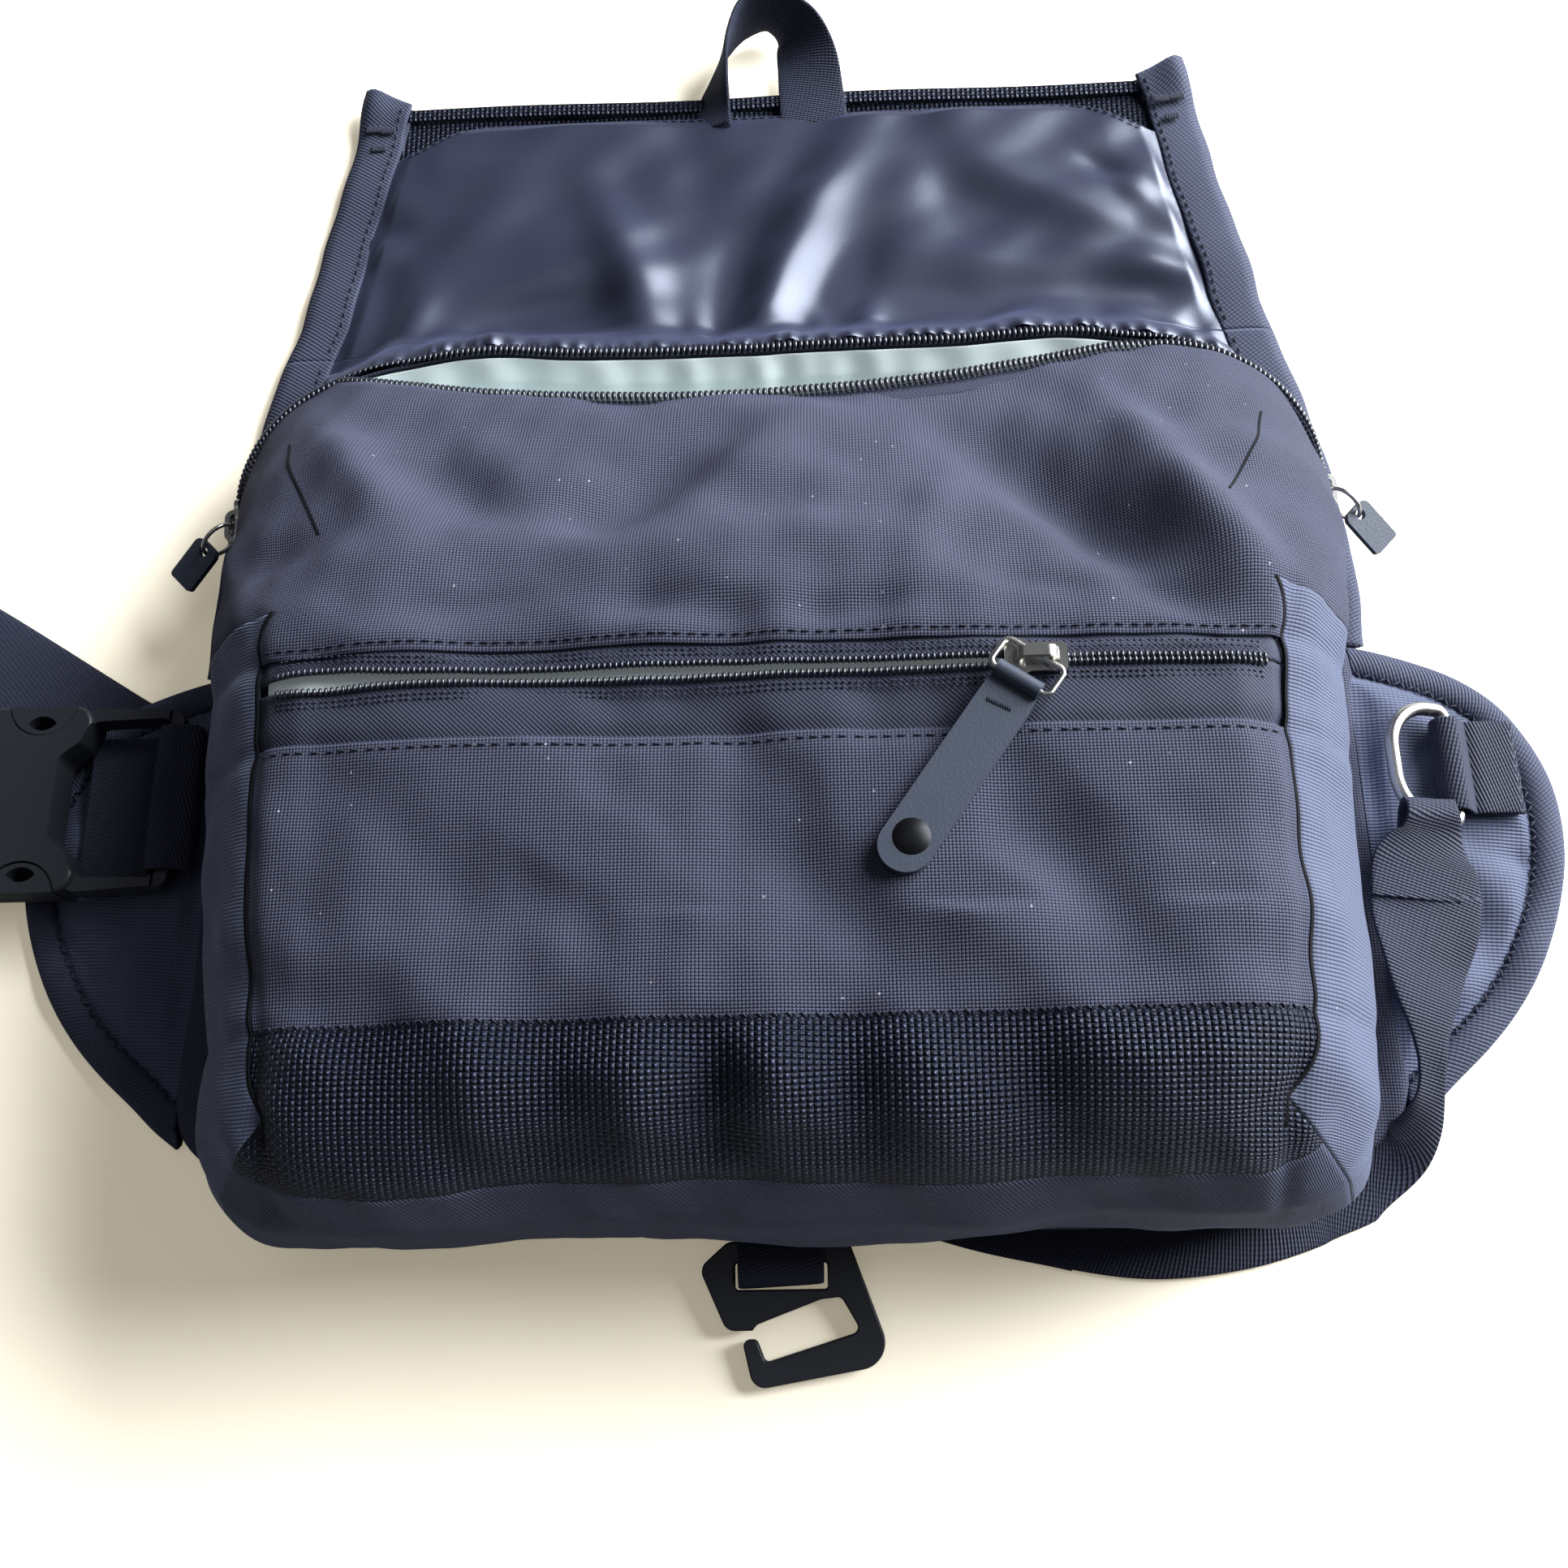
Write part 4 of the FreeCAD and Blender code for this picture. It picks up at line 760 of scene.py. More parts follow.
def make_compartment_lining():
    """Pale bag inside the mouth: from the front coil down, along the floor and up to the back coil.

    Every column is a rounded path in y and z. Gathers are waves along the normal near the back coil."""
    place = np.linspace(1.02, 2.98, 320)
    front, back = mouth_rings(place)
    x, fy, fz = ring_point(front, place).T
    by, bz = back_row_at(ring_point(back, place)[:, 0])
    corner = smooth(96, 120, np.abs(x))
    corner_y = fy - lerp(34.0, 16.0, corner)
    level = 0 * fz
    path = ((fy + 0.6, fz - 0.9), (fy - 5, fz + 0.2), (fy - 13, fz + 1.5), (corner_y, fz + 3.0 - 7 * corner),
            (corner_y - 4, level + 15), (corner_y + 4, level + 9.2), (by - 20, level + 8.8),
            (by - 9, level + 11), (by - 6.4, bz - 4.5), (by - 2.0, bz - 0.3))
    knots = np.stack([np.stack(knot, -1) for knot in path])
    t = np.linspace(0, len(knots) - 1, 70)
    i = np.minimum(t.astype(int), len(knots) - 2)
    w = (t - i)[:, None, None]
    w = w * w * (3 - 2 * w) * 0.6 + w * 0.4
    rows = knots[i] * (1 - w) + knots[i + 1] * w
    points = np.concatenate([np.broadcast_to(x, rows.shape[:2])[..., None], rows], -1)
    near_back = (smooth(5.2, 7.6, t) * smooth(9.3, 8.4, t))[:, None]
    wave = np.sin(x / 3.4 + 2.0 * np.sin(x / 17.0)) + 0.6 * np.sin(x / 1.9 + 3.0 * np.sin(x / 23.0))
    points = points + grid_normals(points) * (near_back * 0.5 * wave[None])[..., None]
    points[..., 2] = np.maximum(points[..., 2], 8.0)
    obj = thickened(grid_object("Compartment lining", points), LINING, 0.0)
    dress(obj, "pale", "pack", "pale_lining", "compartment_lining")


def make_pocket_zip():
    """Pocket zip sunk between the two front panels: sewn tapes and coil rows, parted left of the slider."""
    u = np.linspace(-SEAM_RING, SEAM_RING, 301)
    x = ring_point(*map_place(u, v_at(u, FRONT_ZIP)))[:, 0]
    half = 0.2 + 0.75 * smooth(62, 44, x) + 1.1 * hill(x, -98, 14) + 0.35 * hill(x, -25, 30)
    keep = np.abs(x) < 108.5
    t = np.linspace(0, 1, 13)[:, None]
    for name, edge, way in (("upper", 10.4, 1), ("lower", -13.4, -1)):
        v = rows_between(v_at(u, edge), v_at(u, FRONT_ZIP + way * 1.0), 12)
        cloth, uv, normal = cloth_at(*map_place(u[None], v), proud=-0.9)
        cloth[..., 1] += (way * (half[None] - 0.9)) * t ** 2
        ripples = 0.25 * np.sin(x / 7.0 + way)[None] * hill(t, 0.4, 0.3)
        cloth = cloth + normal * (ripples - 0.5 * hill(t, 0.0, 0.2))[..., None]
        obj = thickened(grid_object("Pocket zip tape " + name, cloth, uv, way > 0), TAPE)
        dress(obj, "tape", "pack", "zip_tape", "front_zip_tape_" + name)
        out = normal[-1][keep]
        line = (cloth[-1] + normal[-1] * 0.45 + AHEAD * way * 0.35)[keep]
        obj = coil("Pocket zip coil " + name, line, AHEAD, out, 1.3, 2.0, 0.44)
        dress(obj, "coil", "pack", "zip_coil", "front_zip_coil_" + name)
        for k, away in enumerate((2.3, 3.5)):
            row = line + AHEAD * way * away - out * 0.3
            stitches(f"Pocket zip sewing {name} {k}", row, out, 1.5, 0.85, 9 + k, "pack", "zip_tape", 0.27)


def make_pocket_lining():
    """Sliver of pale lining that shows between the pocket zip's rows."""
    u = np.linspace(-SEAM_RING, SEAM_RING, 301)
    v = rows_between(v_at(u, -9.0), v_at(u, 8.0), 8)
    cloth, uv, _ = cloth_at(*map_place(u[None], v), proud=-3.4, amount=0.6)
    obj = thickened(grid_object("Pocket lining", cloth, uv), LINING)
    dress(obj, "pale", "pack", "pale_lining", "pocket_lining")


# ---------------------------------------------------------------- flap and bindings
FLAP_ROOT = ("pack", "flap_base", (0, 0.1155, 0.003), (0, 0.122, 0.003))
FLAP_FOLD = ("flap_base", "flap", (0, 0.136, 0.003), (0, 0.146, 0.003))
FOLD_Y = 130.0           # height in y at which the flap's two lengths meet
# middle x and y, half lengths along and across, direction in degrees, height: valleys are negative
FLAP_FOLDS = (
    (-45, 168, 20, 8, 112, 2.6), (-37, 141, 20, 9, 104, 4.2), (24, 196, 20, 10, 64, 2.4),
    (8, 168, 24, 8, 68, 4.0), (-2, 142, 16, 6, 70, 3.2), (-23, 196, 20, 9, 96, -1.6),
    (-13, 148, 18, 7, 78, -2.4), (20, 152, 22, 8, 66, -2.8), (50, 186, 24, 9, 112, -1.6),
    (46, 142, 20, 6, -6, -2.8), (92, 143, 30, 6, -2, -2.6), (104, 151, 22, 6, -18, 2.4),
    (74, 178, 26, 8, -30, 1.8), (92, 168, 22, 7, -30, 1.4), (62, 155, 24, 7, -8, 2.0),
    (-60, 143, 26, 7, 4, -3.2), (-62, 158, 26, 8, 26, 2.0), (-84, 178, 40, 8, 30, 1.2),
    (-96, 170, 36, 6, 32, -0.9), (-102, 139, 12, 6, 70, 2.4), (-112, 146, 14, 7, 80, -1.6),
    (96, 184, 9, 4, -40, -1.6), (104, 176, 9, 4, -42, 1.6), (118, 132, 8, 4, 40, -2.0),
    (66, 132, 12, 5, 20, 1.6), (26, 133, 9, 4, 84, 1.8), (-21, 131, 8, 3.5, 96, 1.8),
    (13, 131, 8, 3.5, 90, 1.6), (-68, 128, 20, 4, 4, 1.8))


def side_line(y):
    """Half width of the flap's outer edge at height y, following the panel's side below the fold."""
    return np.interp(y, [20, 33.4, 56, 84, 108, 118.7, 141, 217, 224],
                     [151.4, 151.6, 151.4, 149.0, 143.8, 141.5, 136.0, 122.5, 121.3])


def make_bindings():
    """Twill tape folded over both long edges, from the wing to the flap's ears, in two lengths.

    The section is a flat loop 14 mm wide and 3 mm thick with a round outer edge. It ripples a little."""
    steps = np.linspace(0, BIND_W, 15)
    inset = np.concatenate([steps[::-1], steps[1:]])
    upper = np.arange(len(inset)) >= 14
    height = np.where(upper, 3.1, 0.25)
    section = height + np.where(upper, 1, -0.2) * 0.35 * np.sin(inset / BIND_W * math.pi)
    section = section - hill(inset, 0, 1.6) * (height - 1.7) * 0.8
    for side, tag in SIDES:
        for name, first, last, bend, nodes in (
                ("lower", 33.6, FOLD_Y, FLAP_ROOT, ("back_binding_", "flap_base_binding_")),
                ("upper", FOLD_Y, 221.4, FLAP_FOLD, ("flap_binding_",))):
            y = np.linspace(first, last, int((last - first) / 1.1))[:, None]
            edge = side_line(y) + 0.35 * np.sin(y / 8.0 + side) + 0.2 * np.sin(y / 3.3)
            lift = 0.5 * np.sin(y / 13.0 + 2 * side) + 0.3 * np.sin(y / 5.7) + 0.5
            ear = smooth(207, 219, y)
            swell = np.where(upper, 1.0, 0.15) * lift
            curl = ear * (1.2 + 2.2 * hill(inset, 3, 5))
            z = np.maximum(section + swell * 0.8 + curl, 0.12)
            points = np.stack([side * (edge - inset), y + ear * (2.2 - 0.38 * inset), z], -1)
            uv = np.stack(np.broadcast_arrays(y, inset + np.where(upper, 0, 40)), -1)
            obj = thickened(grid_object(f"Binding {tag} {name}", points, uv, side > 0), 0.9)
            dress(obj, "twill", bend, "binding", *(node + tag for node in nodes))
            row = points[2:-2, -3] + UP * 0.25
            stitches(f"Binding stitch {tag} {name}", row, UP, 3.0, 2.1, 40 + side, bend, "binding")
        ends = side * (side_line(209.0) - np.array([9.5, 5.0, 7.0]))
        tacks = np.stack([ends, [209.0, 209.6, 203.0], [4.9, 4.9, 4.4]], -1)
        bars = np.concatenate([tack + np.outer(np.linspace(-1.9, 1.9, 9), [1, 0, 0]) for tack in tacks])
        obj = beads(f"Bar tacks {tag}", bars, [0.1, 1.0, 0], UP, 2.6, 0.28)
        dress(obj, "thread", "flap", "binding")


def lining_edge(x):
    """Height in y and z at which the satin is sewn to the main zip's back row, read off that row."""
    y, z = back_row_at(x)
    return y + 1.9, z - 0.6


def flap_height(x, y):
    """Height of the satin lining: folds, fine gathers towards the zip, and a rise to the zip."""
    z = 5.2 + folds_at(x, y, FLAP_FOLDS)
    z = z + 0.7 * plan_ripple(x, y * 0.8, 42, 71) + 0.25 * plan_ripple(x, y, 17, 73)
    sewn_y, sewn_z = lining_edge(x)
    past = y - sewn_y
    gathers = 0.8 * np.sin(x / 3.1 + 1.6 * np.sin(x / 14.0)) + 0.5 * np.sin(x / 5.3 + 2.0 * np.sin(x / 31.0))
    z = z + smooth(22, 4, past) * gathers
    z = z + 0.45 * smooth(9, 1.5, past) * np.sin(x / 0.8 + 2.2 * np.sin(x / 7.0))
    z = 3.0 + 0.5 * np.logaddexp(0, (z - 3.0) / 0.5)
    rim = side_line(y) - BIND_W - np.abs(x)
    z = z + 0.9 * smooth(16, 4, rim) * smooth(-1, 3, rim) * np.sin(y / 3.6 + np.sin(y / 9.0))
    pinned = smooth(-0.5, 5, rim) * smooth(211.5, 206, y)
    z = np.maximum(2.9 + (z - 2.9) * pinned, 2.85)
    held = smooth(17, 0, past) ** 1.2 * smooth(-1.0, 6, rim)
    return z + (sewn_z - 5.3) * held


def flap_grid(first, last, rows, columns, inset):
    """Plan grid of the flap between its bindings, from one height in y to another."""
    across = np.linspace(-1, 1, columns)[None]
    y = first + (last - first) * np.linspace(0, 1, rows)[:, None]
    return across * (side_line(y) - inset), y + 0 * across


def flap_cloth(name, x, y, z, thick, offset, look, bend, node):
    """One length of the flap's cloth over a plan grid."""
    obj = grid_object(name, np.stack([x, y, z], -1), np.stack([x, y], -1))
    dress(thickened(obj, thick, offset), look, bend, look, node)
    return obj


def make_flap_linings():
    """Satin lining in two lengths: one starts at the main zip's back row, the other has the hem."""
    inset = BIND_W - 1.0
    t = np.linspace(0, 1, 44)[:, None]
    x, y = flap_grid(117.6, FOLD_Y, len(t), 420, inset)
    for _ in range(2):
        start = lining_edge(x[:1])[0]
        y = start + (FOLD_Y - start) * t
        x = x[-1:] / (side_line(FOLD_Y) - inset) * (side_line(y) - inset)
    z = flap_height(x, y)
    obj = flap_cloth("Flap lining lower", x, y, z, LINING, -1.0, "satin", FLAP_ROOT, "flap_base_lining")
    hem = 210.0 - 11.0 * smooth(0.72, 1.0, np.abs(np.linspace(-1, 1, 420)[None])) ** 1.5
    x, y = flap_grid(FOLD_Y, hem, 150, 420, inset)
    z = flap_height(x, y)
    obj = flap_cloth("Flap lining upper", x, y, z, LINING, -1.0, "satin", FLAP_FOLD, "flap_lining")
    edge = np.stack([x, y, z], -1)[-1, 8:-8] + [0, -0.8, 0.35]
    stitches("Flap hem stitch", edge, UP, 2.6, 1.9, 60, "flap", "satin")


def make_flap_outers():
    """Heavy outer cloth of the flap in two lengths, and the fold of its hem."""
    for name, node, bend, first, last, rows, flat in (
            ("Flap outer lower", "flap_base_", FLAP_ROOT, 118.7, FOLD_Y, 16, (0.278, 0.0125)),
            ("Flap outer upper", "flap_", FLAP_FOLD, FOLD_Y, 217.2, 90, (0.262, 0.088))):
        x, y = flap_grid(first, last, rows, 150, 3.0)
        z = 0.95 + 0.2 * plan_ripple(x, y, 28, 81) + 0.8 * smooth(211, 217, y)
        obj = flap_cloth(name, x, y, np.clip(z, 0.75, 2.2), 0.8, 0.0, "ballistic", bend, node + "outer")
    x = np.linspace(-1, 1, 240) * (side_line(214.0) - 7.0)
    hem = np.stack([x, 215.7 + 0.3 * np.sin(x / 21.0), 2.0 + 0.3 * np.sin(x / 15.0)], -1)
    dress(band("Flap hem fold", hem, AHEAD, 4.2, 2.8), "ballistic", "flap", "ballistic")


def make_pull_loop():
    """Pull loop of ribbed webbing: flat on its right foot, it turns on edge over the top."""
    path = [(12.5, 206, 3.4), (11.8, 217, 3.9), (10.5, 229, 6.0), (7.0, 237.5, 9.6), (0.0, 241.5, 11.6),
            (-7.5, 239.5, 11.2), (-12.6, 232, 9.6), (-16.0, 221, 6.4), (-17.6, 212, 3.9), (-17.8, 206, 3.3)]
    broad_ways = [(1, 0.0, 0), (1, 0.02, 0.04), (0.95, -0.15, 0.25), (0.75, -0.25, 0.6), (0.45, -0.1, 0.9),
                  (0.15, 0.1, 1.0), (0.2, 0.05, 0.95), (0.45, 0, 0.75), (0.75, 0, 0.5), (0.9, 0, 0.3)]
    both = curve_through(np.hstack([path, np.array(broad_ways) * 12]), 90)
    width = np.interp(np.linspace(0, 1, 90), [0, 0.5, 0.8, 1], [20.0, 17.0, 14.0, 12.0])
    obj = band("Flap pull loop", both[:, :3], both[:, 3:], width, 1.5)
    dress(obj, "webbing", "flap", "webbing", "flap_pull_loop")


# ---------------------------------------------------------------- back panel and wings
def make_back_panel():
    """Foam back panel: a flat cushion with rolled edges, crowned a little towards the wearer.

    Ring t of its outline shrinks towards the middle; its height follows a rounded edge, then a slow crown."""
    outline = [(100, -110.6), (117, -108), (134, -96), (145.6, -84), (146.0, -40), (146.0, 10), (146.0, 32),
               (140.8, 36), (139.6, 60), (138.0, 84), (131, 108), (124, 116), (110, 117.2), (0, 117.4)]
    half = curve_through(outline, 240)
    loop = np.vstack([half, (half * [-1, 1])[::-1][1:], [[0, -111.0]], half[:1]])
    loop = respaced(loop, 420)[:-1]
    t = np.concatenate([np.linspace(0, 0.06, 7), np.linspace(0.08, 1, 26)])
    plan = loop[None] * (1 - t[:, None, None] * 0.999)
    lift = np.sqrt(np.clip(1 - (1 - np.clip(t / 0.05, 0, 1)) ** 2, 0, 1))[:, None]
    top = 3.5 + (3.2 + 0.2 * plan_ripple(plan[..., 0], plan[..., 1], 40, 91)) * lift
    low = np.maximum(3.5 - 3.3 * lift + 0 * top, 0.15)
    upper, lower = (np.concatenate([plan, z[..., None]], -1) for z in (top, low))
    points = np.concatenate([lower[::-1], upper[1:]])
    faces = grid_faces(len(points), len(loop), close_cols=True)
    obj = welded(mesh_object("Back panel", points, faces, points[..., :2]), 0.4)
    dress(obj, "canvas", "pack", "canvas", "back_panel")


WING_ROOT = 146.0        # x where the wings leave the back panel
WING_RIM = (
    (146.2, 33.4), (152, 32), (162, 28.6), (172, 24), (181, 17), (187.2, 8), (191.6, -3), (193, -13),
    (192.4, -24), (190, -34), (186, -44.5), (181, -54), (174.5, -63), (167, -71), (158, -79), (152, -84.6),
    (146.2, -89))
# on the ring's side: middle x and y, half lengths along and across, direction in degrees, height
WING_FOLDS = (
    (176, 0, 13, 4.5, -56, -3.0), (178, -12, 11, 3.5, -32, 2.2), (182, -26, 7, 3, -8, -1.6),
    (180, -38, 8, 4, 12, 1.2))


def wing_rim(inset):
    """The wing's rim, moved inward."""
    rim = curve_through(WING_RIM, 260)
    way = tangents(rim)
    return rim + np.stack([way[:, 1], -way[:, 0]], -1) * inset


def make_wing_border(side, tag, bend):
    """Folded border strip round the wing, which ripples a little along."""
    section = np.array([(8.6, 2.6), (8.2, 3.7), (7.0, 4.5), (5.2, 4.9), (3.2, 4.7), (1.4, 4.0), (0.3, 2.9),
                        (0.0, 2.0), (0.3, 1.0), (1.4, 0.3), (4.0, 0.12), (8.4, 0.12)])
    run = run_of(wing_rim(0))
    wave = 0.35 * np.sin(run / 5.5 + 1.1 * np.sin(run / 17.0))
    columns = []
    for k, (inset, z) in enumerate(section):
        height = z + (wave if 0 < k < 6 else 0 * wave)
        columns.append(np.concatenate([wing_rim(inset), height[:, None]], -1))
    strip = np.stack(columns, 1)
    strip[..., 0] = np.maximum(strip[..., 0], WING_ROOT) * side
    uv = np.stack(np.broadcast_arrays(run[:, None], run_of(section)[None]), -1)
    obj = thickened(grid_object("Wing border " + tag, strip, uv, side > 0), 0.7)
    dress(obj, "twill", bend, "binding", "wing_border_" + tag)


def make_wing_pad(side, tag, bend):
    """Soft pad drawn into puckers by the zigzag seam inside the border.

    Its height is a crown over the distance from the seam, plus waves that fan out from the ring's tab."""
    seam = wing_rim(8.1)
    seam = seam[seam[:, 0] > WING_ROOT + 0.6]
    y = np.linspace(seam[:, 1].max(), seam[:, 1].min(), 110)[:, None]
    order = np.argsort(seam[:, 1])
    reach = np.interp(y, seam[order, 1], seam[order, 0])
    x = 144.6 + (reach - 144.6) * np.linspace(0, 1, 52)[None]
    y = y + 0 * x
    away = distance_to(np.stack([x, y], -1), seam)
    crown = 3.2 + 4.1 * (1 - np.exp(-away / 4.5))
    angle = np.arctan2(y + 14, x - 150)
    fan = np.sin(angle * 9.0 + 1.5 * np.sin(away / 8.0)) * smooth(1, 7, away) * smooth(34, 14, away)
    puckers = np.sin(y / 3.1 + np.sin(x / 5.0)) * hill(away, 3.5, 3.5)
    relief = 0.55 * fan + 0.45 * plan_ripple(x, y, 24, 101 + side) + 0.3 * puckers
    if side > 0:
        relief = relief + folds_at(x, y, WING_FOLDS)
    z = np.maximum(crown + relief * smooth(0, 4, away), 0.9)
    z = lerp(z, np.minimum(z, 5.6), smooth(151, WING_ROOT, x))
    parts = []
    for height, flip in ((z, side > 0), (0.2 + 0 * z, side < 0)):
        sheet = np.stack([x * side, y, height], -1)
        parts.append((sheet, grid_faces(*x.shape, flip=flip), sheet[..., :2]))
    obj = mesh_object("Wing pad " + tag, *joined(parts))
    dress(obj, "ribbed", bend, "canvas", "wing_" + tag)
    line = respaced(in_plane(seam * [side, 1], 2, 4.1), 500)
    stitches("Wing seam " + tag, line, UP, 1.9, 2.3, 70, bend, "binding", 0.3, 0.75)


def make_wings():
    """Padded wings, each with its border and its pad."""
    for side, tag in SIDES:
        bend = ("pack", "wing_" + tag, (side * 0.1455, 0, 0.001), (side * 0.151, 0, 0.001))
        make_wing_border(side, tag, bend)
        make_wing_pad(side, tag, bend)


# ---------------------------------------------------------------- belt webbing
def strap(name, outer, inner, count, wave=None):
    """Webbing through stations given by its two edges, smoothed along its length."""
    both = curve_through(np.hstack([inner, outer]), count)
    a, b = both[:, :3], both[:, 3:]
    return band(name, (a + b) / 2, b - a, np.linalg.norm(b - a, axis=1), 1.5, wave)


def strap_wave(run, across):
    """Small folds of the belt strap where it climbs to the ring."""
    return (0.5 * np.sin(run / 5.3 + across * 1.4) + 0.35 * np.sin(run / 2.7 - across)) * smooth(95, 120, run)


def make_straps():
    """Belt strap in three lengths: under the pack, up to the ring, and round it."""
    path = [(-266, 67.4), (-222, 41), (-150, -4), (-56, -49), (38, -93.5), (70, -101.5)]
    line = curve_through(in_plane(path, 2, 0.8), 220)
    obj = band("Belt strap under the pack", line, np.cross(tangents(line), UP), WEB_W, 1.45)
    bend = ("pack", "wing_left", (-0.144, 0, 0.001), (-0.150, 0, 0.001))
    dress(obj, "webbing", bend, "webbing", "strap_under", "strap_left")
    outer = [(35, -112.0, 0.9), (60, -118.5, 0.9), (84, -122.0, 0.9), (107, -119.8, 0.9),
             (128, -113.5, 0.9), (140.5, -108.5, 1.5), (147.8, -99, 3.6), (150.6, -89, 8.2),
             (152.0, -77, 12.4), (157, -64, 12.2), (163, -50.5, 12.6), (166.5, -36, 13.4)]
    inner = [(44, -75.0, 0.9), (66, -81.5, 0.9), (86, -85.0, 0.9), (100, -82.6, 0.9), (114, -79, 0.9),
             (128, -82, 1.4), (139.0, -88, 4.4), (145.0, -83.0, 11.0), (146.8, -74.0, 14.6),
             (142.5, -60, 17.2), (139.4, -48, 17.6), (139.6, -36, 16.6)]
    bend = ("pack", "wing_right", (0.134, -0.097, 0.001), (0.149, -0.094, 0.006))
    obj = strap("Belt strap to the ring", outer, inner, 230, strap_wave)
    dress(obj, "webbing", bend, "webbing", "strap_right")
    outer = [(166.2, -38, 13.3), (166.0, -28, 13.6), (163.6, -21.5, 14.4), (162.6, -17.6, 17.6),
             (162.4, -14.2, 15.6), (162.6, -15.4, 11.8), (163.0, -21, 10.6), (163.0, -25, 10.6)]
    inner = [(139.5, -38, 16.9), (141.5, -29, 16.4), (147.6, -21.5, 18.2), (149.6, -17.4, 20.4),
             (149.8, -13.8, 18.4), (149.6, -15.2, 14.6), (149.0, -21, 12.8), (148.5, -25, 12.6)]
    bend = ("wing_right", "d_ring", (0.155, -0.036, 0.014), (0.155, -0.022, 0.014))
    dress(strap("Belt strap ring loop", outer, inner, 110), "webbing", bend, "webbing", "strap_ring_loop")


def make_loops():
    """Short webbing: on the left wing, in the buckle's ladder, round the ring's bar and the hook's bar."""
    wing = [(-153.0, 10.2), (-155.4, 11.4), (-155.6, 16.2), (-153.0, 17.2), (-150.0, 17.0), (-146.6, 15.6),
            (-146.2, 12.6), (-147.2, 9.6), (-152.0, 8.3), (-166, 8.2), (-176, 8.2)]
    buckle = [(-231.5, 10.4), (-233.0, 16.4), (-231, 18.4), (-224, 18.5), (-222.2, 16.6), (-222.3, 10.6),
              (-224, 8.6), (-232, 8.4), (-242, 8.0), (-258, 3.6), (-276.5, 3.4)]
    turn = np.linspace(-0.75 * math.pi, 0.95 * math.pi, 22)[17:1:-1]
    tab = [(182, 8.2), (176, 8.3), (171, 8.4), *zip(165 - 3.3 * np.cos(turn), 10.6 + 3.3 * np.sin(turn)),
           (171.5, 9.6), (176, 9.5), (181, 9.3)]
    hook = [(-105.9, 5.5), (-111.3, 6.4), (-113.7, 8.4), (-117.5, 8.7), (-120.3, 7.5), (-122.0, 5.0),
            (-120.1, 2.2), (-117.3, 1.0), (-112.9, 1.1), (-111.3, 3.2), (-105.9, 4.1)]
    slant = np.array([1.0, 0.05, 0])
    for name, path, side, count, width, thick, body, node in (
            ("Wing webbing left", in_plane(wing, 1, -4.0), AHEAD, 90, WEB_W, 1.3, "wing_left",
             "wing_webbing_left"),
            ("Strap end in the buckle", in_plane(buckle, 1, -4.0), AHEAD, 120, WEB_W, 1.3, "buckle_male",
             "strap_buckle_end"),
            ("Ring tab", in_plane(tab, 1, -3.0), AHEAD, 70, 24.0, 1.2, "wing_right", "d_ring_tab"),
            ("Hook webbing", in_plane(hook, 0, -1.0), slant, 100, 19.6, 1.2, "pack", "g_hook_loop")):
        obj = band(name, curve_through(path, count), side, width, thick)
        dress(obj, "webbing", body, "webbing", node)


# ---------------------------------------------------------------- shaders
def feed(tree, socket, value):
    """Sets a number or colour on a socket, or links another socket to it."""
    if isinstance(value, bpy.types.NodeSocket):
        tree.links.new(value, socket)
    else:
        socket.default_value = value


def node_with(tree, kind, **inputs):
    """New node of a tree with some of its inputs fed; underscores stand for spaces in their names."""
    node = tree.nodes.new("ShaderNode" + kind)
    for label, value in inputs.items():
        feed(tree, node.inputs[label.replace("_", " ")], value)
    return node


def maths(tree, operation, *values):
    """Result of a maths node."""
    node = tree.nodes.new("ShaderNodeMath")
    node.operation = operation
    for socket, value in zip(node.inputs, values):
        feed(tree, socket, value)
    return node.outputs[0]


def blended(tree, factor, a, b, mode="MIX"):
    """Colour mix of a and b by factor."""
    node = tree.nodes.new("ShaderNodeMix")
    node.data_type = "RGBA"
    node.blend_type = mode
    for k, value in ((0, factor), (6, a), (7, b)):
        feed(tree, node.inputs[k], value)
    return node.outputs[2]


def darkened(tree, colour, share):
    """Colour from a socket, darkened to a share of itself."""
    return blended(tree, 1.0, colour, (share, share, share, 1.0), "MULTIPLY")


def noise(tree, vector, scale, detail, rough=0.5):
    """Soft noise of about unit range."""
    node = node_with(tree, "TexNoise", Scale=scale, Detail=detail, Roughness=rough, Vector=vector)
    return node.outputs["Fac"]


def node_group(name, inputs, outputs, build):
    """New shader group with those sockets; build(tree, input, output) wires its inside."""
    group = bpy.data.node_groups.new(name, "ShaderNodeTree")
    group.interface.new_socket("Vector", in_out="INPUT", socket_type="NodeSocketVector")
    for label, value in inputs.items():
        group.interface.new_socket(label, in_out="INPUT", socket_type="NodeSocketFloat").default_value = value
    for label in outputs:
        group.interface.new_socket(label, in_out="OUTPUT", socket_type="NodeSocketFloat")
    build(group, group.nodes.new("NodeGroupInput").outputs, group.nodes.new("NodeGroupOutput").inputs)
    return group


